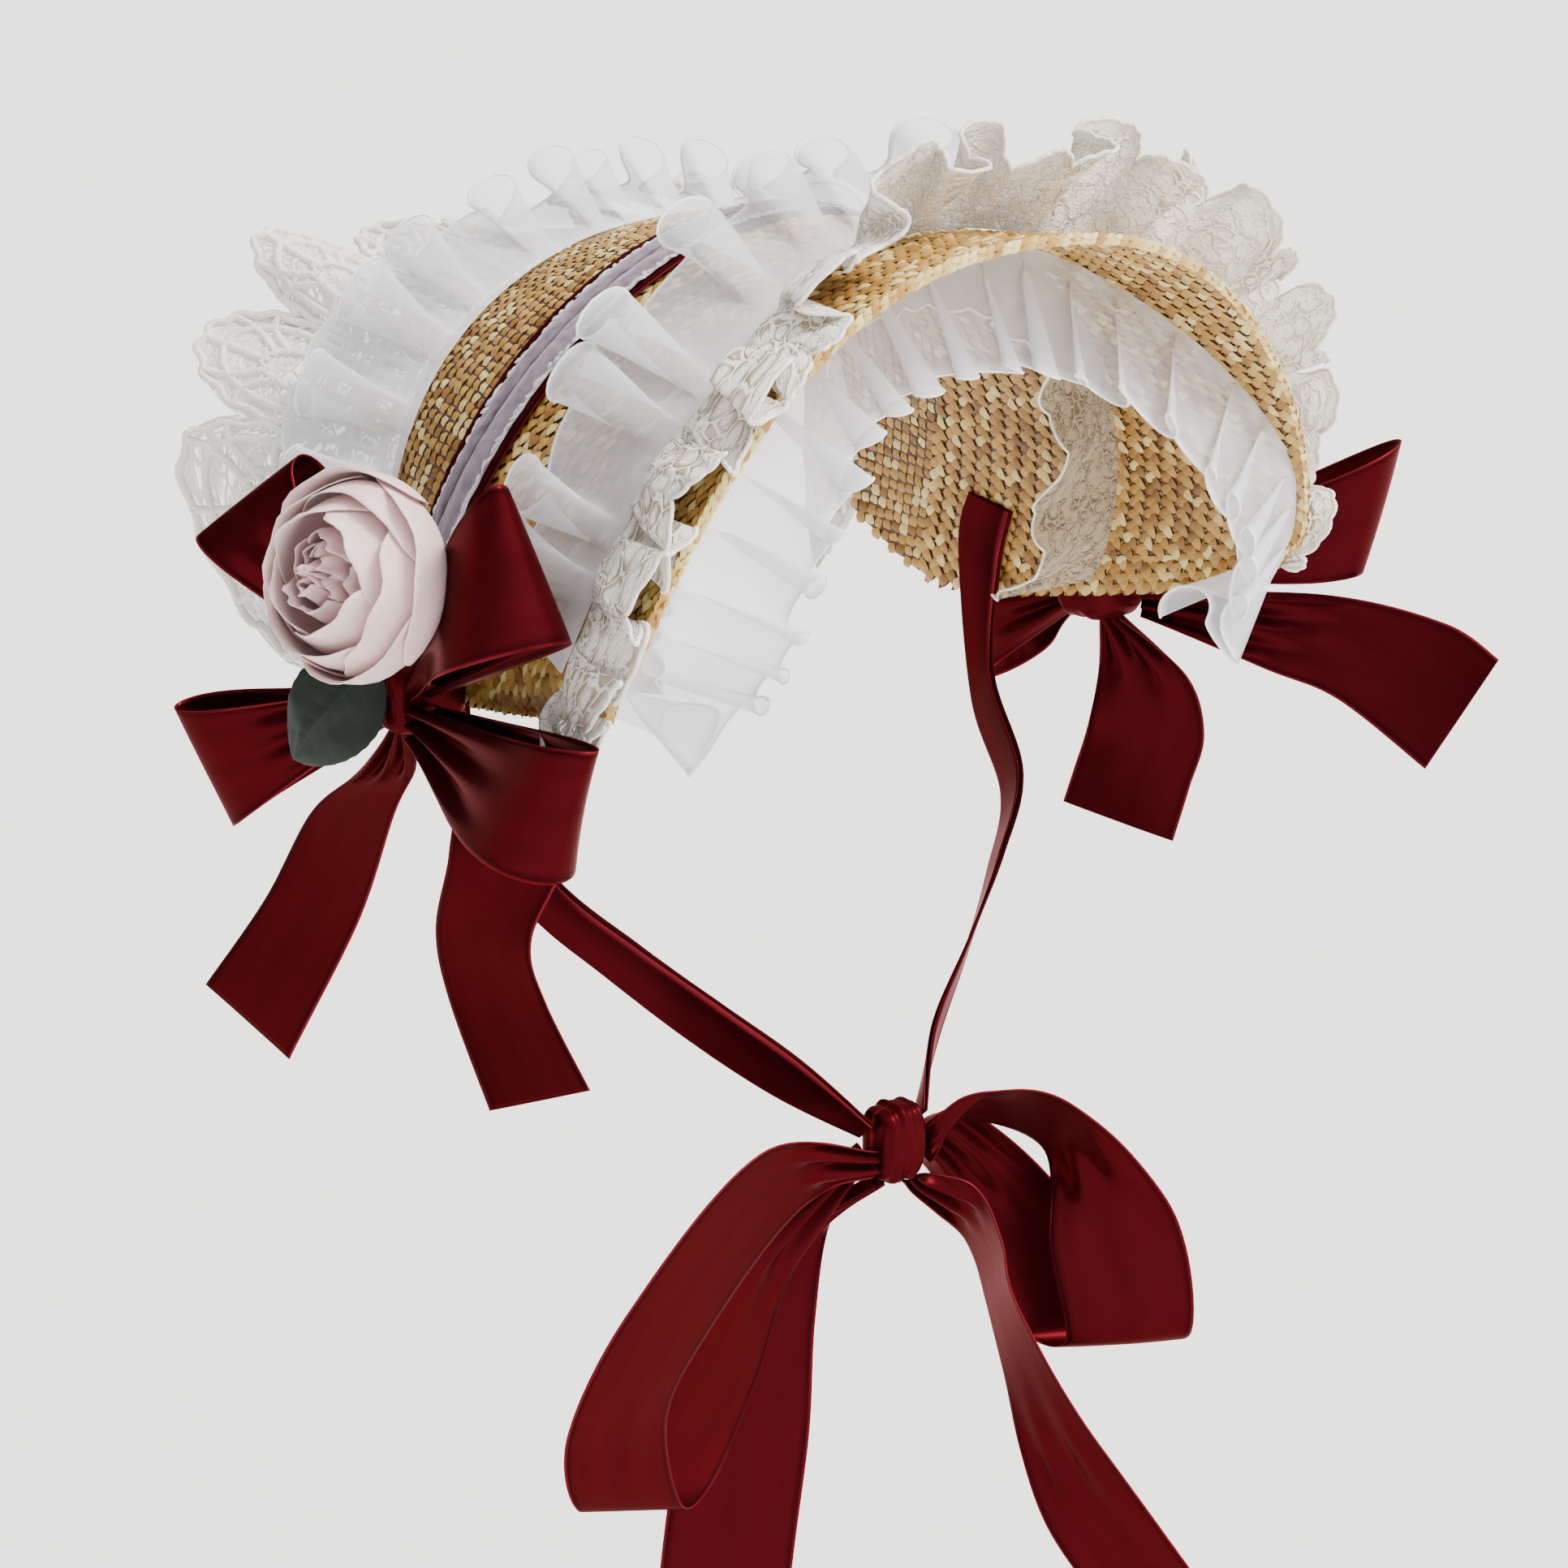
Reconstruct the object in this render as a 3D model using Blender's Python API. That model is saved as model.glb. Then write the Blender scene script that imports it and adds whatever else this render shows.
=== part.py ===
"""A straw bonnet with ribbon bows, worn form. Metres; the wearer faces -Y, +Z is up, the head touches at the origin."""

import math

import bmesh
import bpy
from mathutils import Vector

# straw shell
STRAW_THICK = 0.0025
BAND_SHARE = 0.39
BACK_HALF_WIDTH = 0.106
BAND_HALF_WIDTH = 0.115
RIM_HALF_WIDTH = 0.146
BACK_DEPTH = 0.083
RIM_DEPTH = 0.132
CROWN_SWELL = 0.004
BRIM_DIP = 0.002
SEAM_GAP = 0.0008
TURN_STEPS = 32
CROWN_STEPS = 3
BRIM_STEPS = 4

# one row per arch from the back edge to the rim: share of the way, half width, height, foot height below the top,
# how far back the top and the foot are, fullness of the sides, roundness of the top, reach of an arm, sweep
ARCHES = (
    ("share", "half_width", "height", "foot_z", "top_y", "foot_y", "fullness", "roundness", "reach", "sweep"),
    (0.0, BACK_HALF_WIDTH, 0.131, -0.145, BACK_DEPTH, 0.085, 1.10, 0.58, 90.0, 1.0),
    (BAND_SHARE, BAND_HALF_WIDTH, 0.158, -0.1555, 0.0, 0.0585, 0.98, 0.90, 90.0, 1.15),
    (1.0, RIM_HALF_WIDTH, 0.1235, -0.1135, -RIM_DEPTH, -0.090, 0.84, 1.42, 105.5, 0.60),
)

# cloth
CLOTH = 0.001
LAY_GAP = 0.0006
RIBBON_WIDTH = 0.050
RIBBON_THICK = 0.001
BAND_WIDTH = 0.030
TRIM_WIDTH = 0.020
TRIM_THICK = 0.0016
TRIM_WAVE = 0.0003

# frills: share of the shell that each is sewn on
BRIM_FRILL_TOP = 0.74
BRIM_FRILL_SIDE = 0.845
BRIM_ORGANZA_LENGTH = 0.044
BRIM_LACE_LENGTH = 0.033
SEWN_APART = 0.004
INNER_TOP = 0.78
INNER_SIDE = 0.985
INNER_LENGTH = 0.044
INNER_LACE_SHARE = 0.70
INNER_LACE_LENGTH = 0.040
BACK_ORGANZA_SHARE = 0.075
BACK_ORGANZA_LENGTH = 0.040
BACK_LACE_SHARE = 0.025
BACK_LACE_LENGTH = 0.084
SCALLOPS = 24
LOBES = 12

# bows; a knot's root is on the straw between two turns and two shares
KNOT_RIGHT = Vector((-0.142, 0.020, -0.144))
KNOT_LEFT = Vector((0.150, -0.008, -0.146))
KNOT_LENGTH = 0.028
KNOT_HEIGHT = 0.026
KNOT_DEPTH = 0.016
KNOT_BEVEL = 0.003
KNOT_GAP = 0.0006
ROOT_RIGHT = ((-0.86, -0.97), (0.52, 0.60))
ROOT_LEFT = ((0.86, 0.97), (0.60, 0.68))
PINCH = 0.24
BOW_TURN = 0.15
LOOP_STEPS = 16
TAIL_STEPS = 8

# rose and leaf, placed from the knot in shares of the ribbon's width: forward, up, outward
ROSE_AT = (1.315, 1.17, 0.88)
ROSE_AXIS = (0.36, 0.24, 0.90)
ROSE_RADIUS = 0.031
ROSE_HEIGHT = 0.036
LEAF_FOOT = (0.02, 0.20, 0.19)
LEAF_TIP = (-0.40, -0.47, 0.62)
LEAF_FACE = (0.55, 0.10, 0.80)
LEAF_WIDTH = 0.034

# chin ties
CHIN_KNOT = Vector((0.0, -0.064, -0.312))
CHIN_KNOT_SIZE = (0.022, 0.028, 0.018)

# loops, in shares of the ribbon's width: where the fold is, half the fold's width as a direction, the puff and
# how much more of it the far edge has, where the loop starts, its side of the knot (1 is forward)
LOOPS_RIGHT = (
    ("name", "fold", "half", "puff", "flare", "start", "side"),
    ("loop_back_up", (-1.30, 1.12, 0.46), (0.33, 0.33, -0.27), 0.20, 0.0, 0.165, -1),
    ("loop_back_low", (-1.80, -0.86, 0.66), (0.01, -0.48, -0.20), 0.14, 0.0, -0.165, -1),
    ("loop_front_up", (2.43, 1.40, 0.36), (0.10, -0.45, -0.04), 0.27, 0.5, 0.14, 1),
    ("loop_front_low", (2.78, -0.08, 0.22), (-0.20, -0.47, 0.05), 0.24, 0.3, -0.14, 1),
)
LOOPS_LEFT = (
    ("name", "fold", "half", "puff", "flare", "start", "side"),
    ("loop_front_up", (1.78, 0.66, 0.86), (0.10, 0.48, 0.06), 0.34, 0.2, 0.14, 1),
    ("loop_back_up", (-1.30, 0.75, 0.40), (0.10, 0.46, -0.10), 0.26, 0.0, 0.14, -1),
    ("loop_back_low", (-1.50, -0.62, 0.44), (0.05, -0.48, 0.08), 0.26, 0.0, -0.14, -1),
)

# ribbons led through stops, in the same shares: the middle line's stop, then half the ribbon's width there
TAILS_RIGHT = (
    ("name", "stops"),
    (
        "tail_back",
        (
            ((-0.13, -0.271, -0.06), (0.09, 0.0, 0.0)),
            ((-0.62, -0.72, -0.16), (0.32, 0.08, -0.06)),
            ((-1.16, -1.16, -0.14), (0.50, 0.12, -0.09)),
            ((-1.58, -1.98, 0.02), (0.49, 0.03, -0.14)),
            ((-2.10, -2.92, 0.32), (0.46, -0.16, -0.12)),
        ),
    ),
    (
        "tail_front",
        (
            ((0.13, -0.271, -0.06), (0.09, 0.0, 0.0)),
            ((0.84, -0.44, -0.22), (0.36, 0.08, -0.10)),
            ((1.08, -0.86, -0.20), (0.46, 0.09, -0.18)),
            ((0.90, -1.43, -0.12), (0.48, 0.08, -0.11)),
            ((1.09, -1.84, -0.12), (0.47, 0.12, -0.12)),
            ((1.68, -2.33, -0.12), (0.46, 0.20, -0.13)),
        ),
    ),
)
TAILS_LEFT = (
    ("name", "stops"),
    (
        "tail_front",
        (
            ((0.294, -0.14, 0.0), (0.0, 0.09, 0.0)),
            ((1.23, -0.30, 0.60), (0.12, 0.26, 0.20)),
            ((1.85, -0.48, 0.95), (0.25, 0.27, 0.30)),
            ((2.38, -0.81, 1.10), (0.16, 0.40, 0.20)),
        ),
    ),
    (
        "tail_down",
        (
            ((0.0, -0.271, 0.0), (0.10, 0.0, 0.0)),
            ((0.20, -0.70, 0.16), (0.30, 0.0, 0.14)),
            ((0.22, -1.15, 0.20), (0.36, -0.02, 0.24)),
            ((0.10, -1.55, 0.20), (0.36, -0.06, 0.24)),
            ((-0.02, -1.92, 0.20), (0.34, -0.14, 0.24)),
        ),
    ),
)
TIES_CHIN = (
    ("name", "steps", "stops"),
    (
        "loop_left",
        16,
        (
            ((0.236, -0.09, 0.09), (0.0, 0.10, 0.0)),
            ((0.62, 0.14, 0.12), (-0.12, 0.22, 0.28)),
            ((1.44, -0.22, 0.12), (-0.15, 0.30, 0.30)),
            ((1.96, -1.14, 0.16), (0.40, 0.12, 0.22)),
            ((2.22, -2.10, 0.10), (0.47, -0.04, 0.18)),
            ((2.04, -2.04, -0.30), (0.46, -0.02, 0.14)),
            ((1.50, -1.05, -0.42), (0.38, 0.10, 0.10)),
            ((0.80, -0.30, -0.34), (0.10, 0.24, 0.06)),
            ((0.236, -0.09, -0.09), (0.0, 0.10, 0.0)),
        ),
    ),
    (
        "loop_right",
        16,
        (
            ((-0.236, -0.09, 0.09), (0.0, 0.10, 0.0)),
            ((-1.13, 0.05, 0.18), (-0.28, 0.32, 0.14)),
            ((-2.16, -0.66, 0.28), (-0.42, 0.24, 0.12)),
            ((-2.57, -1.29, 0.26), (-0.48, 0.12, 0.10)),
            ((-2.38, -2.00, 0.12), (-0.48, 0.16, 0.06)),
            ((-1.85, -2.06, -0.18), (-0.46, 0.18, 0.06)),
            ((-1.35, -1.50, -0.26), (-0.42, 0.16, 0.08)),
            ((-0.98, -0.72, -0.22), (-0.30, 0.18, 0.06)),
            ((-0.236, -0.09, -0.09), (0.0, 0.10, 0.0)),
        ),
    ),
    (
        "tail_right",
        10,
        (
            ((-0.11, -0.297, -0.06), (0.08, 0.0, 0.0)),
            ((-0.54, -0.74, -0.45), (0.32, 0.06, 0.06)),
            ((-0.86, -1.35, -0.52), (0.46, 0.00, 0.16)),
            ((-0.93, -2.18, -0.52), (0.46, 0.00, 0.18)),
            ((-1.06, -3.01, -0.52), (0.46, 0.00, 0.18)),
            ((-1.16, -3.75, -0.52), (0.46, 0.00, 0.18)),
        ),
    ),
    (
        "tail_left",
        12,
        (
            ((0.11, -0.296, 0.05), (0.08, 0.0, 0.0)),
            ((0.58, -0.62, 0.10), (-0.10, 0.22, 0.24)),
            ((0.80, -0.98, 0.10), (-0.18, 0.22, 0.36)),
            ((0.92, -1.40, 0.10), (-0.20, 0.23, 0.36)),
            ((1.14, -1.96, 0.10), (-0.14, 0.26, 0.34)),
            ((1.50, -2.73, 0.10), (0.04, 0.18, 0.32)),
            ((2.02, -3.60, 0.10), (0.34, 0.00, 0.24)),
            ((2.66, -4.50, 0.10), (0.44, -0.06, 0.16)),
        ),
    ),
)
# the strap on the wearer's right: it starts inside the brim's foot, then runs through stops from the chin knot
STRAP_SHARE = 0.50
STRAP_TURNS = ((-0.84, 0.0), (-0.93, 0.001))
STRAP_HALF = 0.18
STRAP_STOPS = (
    ("at", "faces", "wide"),
    ((-2.30, 2.50, -1.72), (-1.00, 0.00, 0.15), 1.00),
    ((-2.10, 1.92, -1.16), (-0.95, -0.10, 0.30), 1.00),
    ((-1.68, 1.46, -0.86), (-0.85, -0.20, 0.50), 1.00),
    ((-1.18, 0.98, -0.60), (-0.70, -0.25, 0.70), 1.00),
    ((-0.66, 0.52, -0.34), (-0.45, -0.30, 0.85), 0.85),
    ((-0.240, 0.13, 0.00), (0.00, -0.75, 0.66), 0.50),
)

# how each piece looks: colour, roughness
STRAW = ("golden straw", (0.62, 0.42, 0.18), 0.6)
SATIN = ("maroon satin", (0.20, 0.008, 0.018), 0.35)
GIMP = ("lavender gimp", (0.42, 0.36, 0.42), 0.8)
ORGANZA = ("white organza", (0.86, 0.86, 0.88), 0.5)
COTTON = ("cream cotton lace", (0.78, 0.72, 0.64), 0.9)
PETAL = ("pale pink petal cloth", (0.78, 0.60, 0.60), 0.8)
LEAF = ("dark green leaf cloth", (0.03, 0.045, 0.035), 0.6)


def columns(table):
    """The table's rows as dictionaries, named by its first row."""
    return [dict(zip(table[0], row)) for row in table[1:]]


def smooth(low, high, value):
    t = min(1.0, max(0.0, (value - low) / (high - low)))
    return t * t * (3 - 2 * t)


def power(value, exponent):
    return math.copysign(abs(value) ** exponent, value)


def arch_at(share):
    """The arch's sizes at that share of the way from the back edge to the rim."""
    back, band, rim = columns(ARCHES)
    a, b = (back, band) if share <= BAND_SHARE else (band, rim)
    t = (share - a["share"]) / (b["share"] - a["share"])
    sizes = {k: a[k] + (b[k] - a[k]) * t for k in a}
    swell = CROWN_SWELL if share <= BAND_SHARE else -BRIM_DIP
    sizes["height"] += swell * 4 * t * (1 - t)
    return sizes


def shell(turn, share):
    """A point of the straw's outer face; turn runs from -1 at the wearer's right foot to 1 at the left."""
    s = arch_at(share)
    reach = math.radians(s["reach"])
    angle = turn * reach
    rise = power(math.cos(angle), s["roundness"])
    lift = max(0.0, (math.cos(angle) - math.cos(reach)) / (1 - math.cos(reach)))
    return Vector(
        (
            s["half_width"] * power(math.sin(angle), s["fullness"]),
            s["foot_y"] + (s["top_y"] - s["foot_y"]) * lift ** s["sweep"],
            s["foot_z"] + s["height"] * rise,
        )
    )


def frame(turn, share):
    """The point, and the directions along the arch, forward and outward there."""
    step = 0.004
    low, high = max(-0.985, turn - step), min(0.985, turn + step)
    if high - low < step:
        low, high = (0.985 - 2 * step, 0.985) if turn > 0 else (-0.985, -0.985 + 2 * step)
    back, ahead = max(0.0, share - 0.01), min(1.0, share + 0.01)
    if back < BAND_SHARE < ahead:
        back, ahead = BAND_SHARE - 0.02, BAND_SHARE + 0.02
    inside = min(0.98, max(-0.98, turn))
    along = (shell(high, share) - shell(low, share)).normalized()
    forward = (shell(inside, ahead) - shell(inside, back)).normalized()
    out = forward.cross(along).normalized()
    forward = along.cross(out).normalized()
    return shell(turn, share), along, forward, out


def off_shell(turn, share, out):
    point, _, _, normal = frame(turn, share)
    return point + normal * out


def share_length():
    """Metres along the brim's top for one whole share."""
    return (shell(0, 1) - shell(0, BAND_SHARE)).length / (1 - BAND_SHARE)


def finish(name, mesh, look):
    """Makes the mesh an object with its own material, in the bonnet's collection."""
    label, colour, rough = look
    mesh.normal_update()
    bmesh.ops.recalc_face_normals(mesh, faces=mesh.faces)
    data = bpy.data.meshes.new(name)
    mesh.to_mesh(data)
    mesh.free()
    material = bpy.data.materials.new(f"{name} {label}")
    material.use_nodes = True
    shader = material.node_tree.nodes["Principled BSDF"]
    shader.inputs["Base Color"].default_value = (*colour, 1)
    shader.inputs["Roughness"].default_value = rough
    data.materials.append(material)
    made = bpy.data.objects.new(name, data)
    bpy.data.collections["straw_bonnet"].objects.link(made)
    return made


def cloth(name, grid, thick, look, gaps=()):
    """A closed sheet of that thickness about the grid of points, without the squares named in gaps."""
    rows, across = len(grid), len(grid[0])
    squares = [(r, c) for r in range(rows - 1) for c in range(across - 1) if (r, c) not in gaps]
    normals = [[Vector() for _ in range(across)] for _ in range(rows)]
    for r in range(rows - 1):
        for c in range(across - 1):
            a, b, d, e = grid[r][c], grid[r][c + 1], grid[r + 1][c + 1], grid[r + 1][c]
            normal = (d - a).cross(e - b).normalized()
            for i, j in ((r, c), (r, c + 1), (r + 1, c + 1), (r + 1, c)):
                normals[i][j] += normal
    used = sorted({(r + i, c + j) for r, c in squares for i in (0, 1) for j in (0, 1)})
    mesh = bmesh.new()
    top = {k: mesh.verts.new(grid[k[0]][k[1]] + normals[k[0]][k[1]].normalized() * thick / 2) for k in used}
    low = {k: mesh.verts.new(grid[k[0]][k[1]] - normals[k[0]][k[1]].normalized() * thick / 2) for k in used}
    edges = {}
    for r, c in squares:
        ring = [(r, c), (r, c + 1), (r + 1, c + 1), (r + 1, c)]
        a, b, d, e = (grid[i][j] for i, j in ring)
        halves = ((0, 1, 2), (0, 2, 3)) if (d - a).length < (e - b).length else ((0, 1, 3), (1, 2, 3))
        for half in halves:
            mesh.faces.new([top[ring[k]] for k in half])
            mesh.faces.new([low[ring[k]] for k in reversed(half)])
        for a, b in zip(ring, ring[1:] + ring[:1]):
            edges.setdefault(frozenset((a, b)), []).append((a, b))
    for sides in edges.values():
        if len(sides) == 1:
            a, b = sides[0]
            mesh.faces.new([top[b], top[a], low[a], low[b]])
    return finish(name, mesh, look)


def blend(stops, t):
    """A smooth curve through the stops; each stop is a tuple of vectors."""
    last = len(stops) - 1
    i = min(int(t * last), last - 1)
    u = t * last - i
    p = [stops[min(max(k, 0), last)] for k in (i - 1, i, i + 1, i + 2)]
    return [
        (b * 2 + (c - a) * u + (a * 2 - b * 5 + c * 4 - d) * u**2 + (b * 3 - a - c * 3 + d) * u**3) / 2
        for a, b, c, d in zip(*p)
    ]


def make_crown():
    rows = [i * (BAND_SHARE - SEAM_GAP) / CROWN_STEPS for i in range(CROWN_STEPS + 1)]
    make_straw("crown", rows)


def make_brim():
    first = BAND_SHARE + 2 * SEAM_GAP
    rows = [first + i * (1 - first) / BRIM_STEPS for i in range(BRIM_STEPS + 1)]
    make_straw("brim", rows)


def make_straw(name, shares):
    turns = [-1 + 2 * i / TURN_STEPS for i in range(TURN_STEPS + 1)]
    grid = [[off_shell(t, s, -STRAW_THICK / 2) for t in turns] for s in shares]
    cloth(name, grid, STRAW_THICK, STRAW)


def band_strip(name, width, thick, out, wave, look):
    half = width / share_length() / 2
    turns = [-0.97 + 1.94 * i / TURN_STEPS for i in range(TURN_STEPS + 1)]
    grid = [
        [off_shell(t, BAND_SHARE + side * half, out + wave * math.sin(i * 2.2)) for i, t in enumerate(turns)]
        for side in (-1, 0, 1)
    ]
    cloth(name, grid, thick, look)


def make_band():
    ribbon_out = LAY_GAP + RIBBON_THICK / 2
    band_strip("band_ribbon", BAND_WIDTH, RIBBON_THICK, ribbon_out, 0, SATIN)
    trim_out = ribbon_out + RIBBON_THICK / 2 + LAY_GAP + TRIM_THICK / 2
    band_strip("band_trim", TRIM_WIDTH, TRIM_THICK, trim_out, TRIM_WAVE, GIMP)


def frill(name, share_at, reach, across, rows, shape, look, gaps=()):
    """A gathered strip: shape gives the way along the arch, forward and outward from the line that it is sewn on."""
    grid = []
    for j in range(rows + 1):
        line = []
        for i in range(across + 1):
            turn = -reach + 2 * reach * i / across
            point, along, forward, out = frame(turn, share_at(turn))
            a, f, o = shape(turn, i, j / rows)
            line.append(point + along * a + forward * f + out * o)
        grid.append(line)
    cloth(name, grid, CLOTH, look, gaps)


def brim_frill_share(turn):
    return BRIM_FRILL_TOP + (BRIM_FRILL_SIDE - BRIM_FRILL_TOP) * smooth(0, 0.45, abs(turn))


def inner_share(turn):
    return INNER_TOP + (INNER_SIDE - INNER_TOP) * smooth(0.15, 0.68, abs(turn))


def make_brim_frills():
    waves, across = 14, 84

    def organza(turn, i, v):
        low = smooth(0.50, 0.72, abs(turn))
        height = BRIM_ORGANZA_LENGTH * (0.88 + 0.12 * smooth(0, 0.4, abs(turn)) - 0.2 * low)
        height *= 1 - 0.62 * smooth(0.70, 0.88, abs(turn))
        lean = math.radians(44 + 32 * low)
        phase = math.tau * waves * i / across
        ripple = (0.24 - 0.10 * low) * height * v**1.2 * math.sin(phase) * (1 - 0.8 * smooth(0.70, 0.85, abs(turn)))
        back = height * v * math.sin(lean) - ripple * math.cos(lean)
        up = LAY_GAP + CLOTH / 2 * math.sin(lean) + height * v * math.cos(lean) + ripple * math.sin(lean)
        return -0.08 * height * v * math.sin(2 * phase), -SEWN_APART / 2 - back, up

    frill("brim_organza", brim_frill_share, 0.86, across, 2, organza, ORGANZA)
    per = 3

    def lace(turn, i, v):
        foot = smooth(0.74, 0.9, abs(turn))
        height = BRIM_LACE_LENGTH * (1 + 0.25 * smooth(-0.1, 0.5, turn) * (1 - foot) - 0.42 * foot)
        flat = smooth(-0.62, -0.76, turn)
        scallop = (0.84, 1.0, 1.0)[i % per] if v == 1 else 1
        lean = math.radians(76 - 48 * smooth(-0.35, 0.35, turn) + 40 * smooth(0.68, 0.88, turn))
        ripple = 0.16 * height * v * math.sin(math.tau * 10.5 * i / (SCALLOPS * per)) * (1 - 0.6 * flat)
        reach = height * v * scallop
        front = reach * math.sin(lean) - ripple * math.cos(lean)
        up = reach * math.cos(lean) + (ripple + 0.18 * height * v) * math.sin(lean)
        return 0, SEWN_APART / 2 + front, LAY_GAP + CLOTH / 2 * math.sin(lean) + up * (1 - 0.45 * flat)

    holes = {(1, s * per + 1) for s in range(SCALLOPS)}
    frill("brim_lace", brim_frill_share, 0.97, SCALLOPS * per, 3, lace, COTTON, holes)


def make_inner_frills():
    inside = -STRAW_THICK - LAY_GAP - CLOTH / 4

    def organza(turn, i, v):
        foot = smooth(0.78, 1.0, abs(turn))
        length = INNER_LENGTH * (1 + 0.25 * foot)
        lean = math.radians(25 - 20 * smooth(0.3, 0.7, abs(turn)))
        fold = 0.0055 * v * (1, -1, 0)[i % 3]
        down = length * v * math.cos(lean) * (1 - foot * (0.72 if turn < 0 else 0.10))
        spread = 0.030 * v * foot * math.copysign(1, turn)
        return spread, length * v * math.sin(lean) + fold, inside - down

    frill("inner_ruffle", inner_share, 0.97, 72, 2, organza, ORGANZA)

    def lace(turn, i, v):
        length = INNER_LACE_LENGTH * (0.62 + 0.75 * smooth(0.35, 0.95, abs(turn)))
        ripple = 0.005 * v * math.sin(math.tau * i / 4)
        return 0, -0.10 * length * v + ripple, inside - length * v * 0.96

    frill("inner_lace", lambda turn: INNER_LACE_SHARE, 0.96, 36, 2, lace, COTTON)


def make_back_frills():
    across = 60

    def organza(turn, i, v):
        side = smooth(0.15, 0.7, abs(turn))
        length = BACK_ORGANZA_LENGTH * (0.82 + 0.18 * side - 0.35 * smooth(0.80, 0.97, abs(turn)))
        tilt = math.radians(40 + 20 * side)
        phase = math.tau * 10 * i / across
        ripple = 0.20 * length * v * math.sin(phase)
        back = length * v * math.cos(tilt) - ripple * math.sin(tilt)
        up = LAY_GAP + CLOTH / 2 * math.cos(tilt) + length * v * math.sin(tilt) + ripple * math.cos(tilt)
        return -0.08 * length * v * math.sin(2 * phase), -back, up

    frill("back_organza", lambda turn: BACK_ORGANZA_SHARE, 0.90, across, 2, organza, ORGANZA)
    per, rows = 4, 5

    def lace(turn, i, v):
        side = smooth(0.10, 0.62, abs(turn))
        foot = smooth(0.84, 1.0, abs(turn))
        length = BACK_LACE_LENGTH * (0.60 + 0.40 * side)
        lobe = 0.70 + 0.30 * math.sin(math.pi * (i % per) / per) ** 0.7
        tilt = math.radians(12 + 26 * side)
        ripple = 0.005 * v * math.sin(math.tau * 6 * i / (LOBES * per))
        reach = length * v * (1 + (lobe - 1) * v)
        fan = 0.75 * reach * foot * math.copysign(1, turn)
        reach *= 1 - 0.35 * foot
        back = reach * math.cos(tilt) - ripple * math.sin(tilt)
        return fan, -back, LAY_GAP + CLOTH / 2 * math.cos(tilt) + reach * math.sin(tilt) + ripple * math.cos(tilt)

    holes = {(r, n * per + c) for n in range(LOBES) for r in (1, 3) for c in (1, 2)}
    frill("back_lace", lambda turn: BACK_LACE_SHARE, 0.97, LOBES * per, rows, lace, COTTON, holes)


def bow_axes(side):
    """Forward, up and outward on that side of the head (-1 is the wearer's right)."""
    forward = Vector((side * BOW_TURN, -1, 0)).normalized()
    return forward, Vector((0, 0, 1)), Vector((side, BOW_TURN * 1.0, 0)).normalized()


def place(knot, axes, shares):
    return knot + sum((axis * s * RIBBON_WIDTH for axis, s in zip(axes, shares)), Vector())


def direction(axes, shares):
    return sum((axis * s * RIBBON_WIDTH for axis, s in zip(axes, shares)), Vector())


def make_loop(name, knot, axes, row):
    """A ribbon from the knot out to its fold and back under itself."""
    forward, up, out = axes
    start_front = knot + forward * row["side"] * (KNOT_LENGTH / 2 + KNOT_GAP) + up * row["start"] * RIBBON_WIDTH
    fold = place(knot, axes, row["fold"])
    wide = direction(axes, row["half"])
    wide *= RIBBON_WIDTH / 2 / wide.length
    way = fold - start_front
    puff_way = way.cross(wide).normalized()
    if puff_way.dot(out) < 0:
        puff_way = -puff_way
    narrow = up * (RIBBON_WIDTH * PINCH / 2) * math.copysign(1, wide.dot(up) or 1)
    lines = [[], [], []]
    for i in range(LOOP_STEPS + 1):
        t = i / LOOP_STEPS
        reach = math.sin(math.pi * t) ** 0.9
        bulge = row["puff"] * RIBBON_WIDTH * math.sin(math.tau * t) * (0.5 + 0.5 * reach)
        half = narrow.lerp(wide, reach)
        for line, across in zip(lines, (-1, 0, 1)):
            lift = puff_way * bulge * (1 + row["flare"] * across) + out * 0.0035 * math.cos(math.pi * t)
            line.append(start_front + way * reach + half * across + lift)
    cloth(name, lines, RIBBON_THICK, SATIN)


def make_ribbon(name, stops, steps=TAIL_STEPS):
    """A flat ribbon through stops, each its middle and half its width as vectors."""
    lines = [[], [], []]
    for i in range(steps + 1):
        centre, half = blend(stops, i / steps)
        for line, across in zip(lines, (-1, 0, 1)):
            line.append(centre + half * across)
    cloth(name, lines, RIBBON_THICK, SATIN)


def from_knot(knot, axes, stops):
    return [(place(knot, axes, middle), direction(axes, half)) for middle, half in stops]


def make_knot(name, knot, axes, size, root=None):
    """The ribbon wrapped round the bow's middle: a bevelled block, with a root that reaches in to the straw."""
    forward, up, out = axes
    corners = ((-1, -1), (1, -1), (1, 1), (-1, 1))
    rings = [
        [knot + (forward * x * size[0] + up * z * size[1] + out * y * size[2]) / 2 for x, z in corners] for y in (1, -1)
    ]
    if root:
        (high, low), (back, front) = root
        rings.append(
            [
                off_shell((low, high)[z > 0], (back, front)[x > 0], LAY_GAP)
                for x, z in corners
            ]
        )
    mesh = bmesh.new()
    made = [[mesh.verts.new(p) for p in ring] for ring in rings]
    for a, b in zip(made, made[1:]):
        for i in range(4):
            j = (i + 1) % 4
            mesh.faces.new((a[i], a[j], b[j], b[i]))
    mesh.faces.new(made[0])
    mesh.faces.new(made[-1][::-1])
    sharp = [e for e in mesh.edges if sum(v in made[0] or v in made[1] for v in e.verts) == 2]
    bmesh.ops.bevel(mesh, geom=sharp, offset=KNOT_BEVEL, segments=1, affect="EDGES")
    bmesh.ops.triangulate(mesh, faces=[f for f in mesh.faces if len(f.verts) > 3])
    finish(name, mesh, SATIN)


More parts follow.
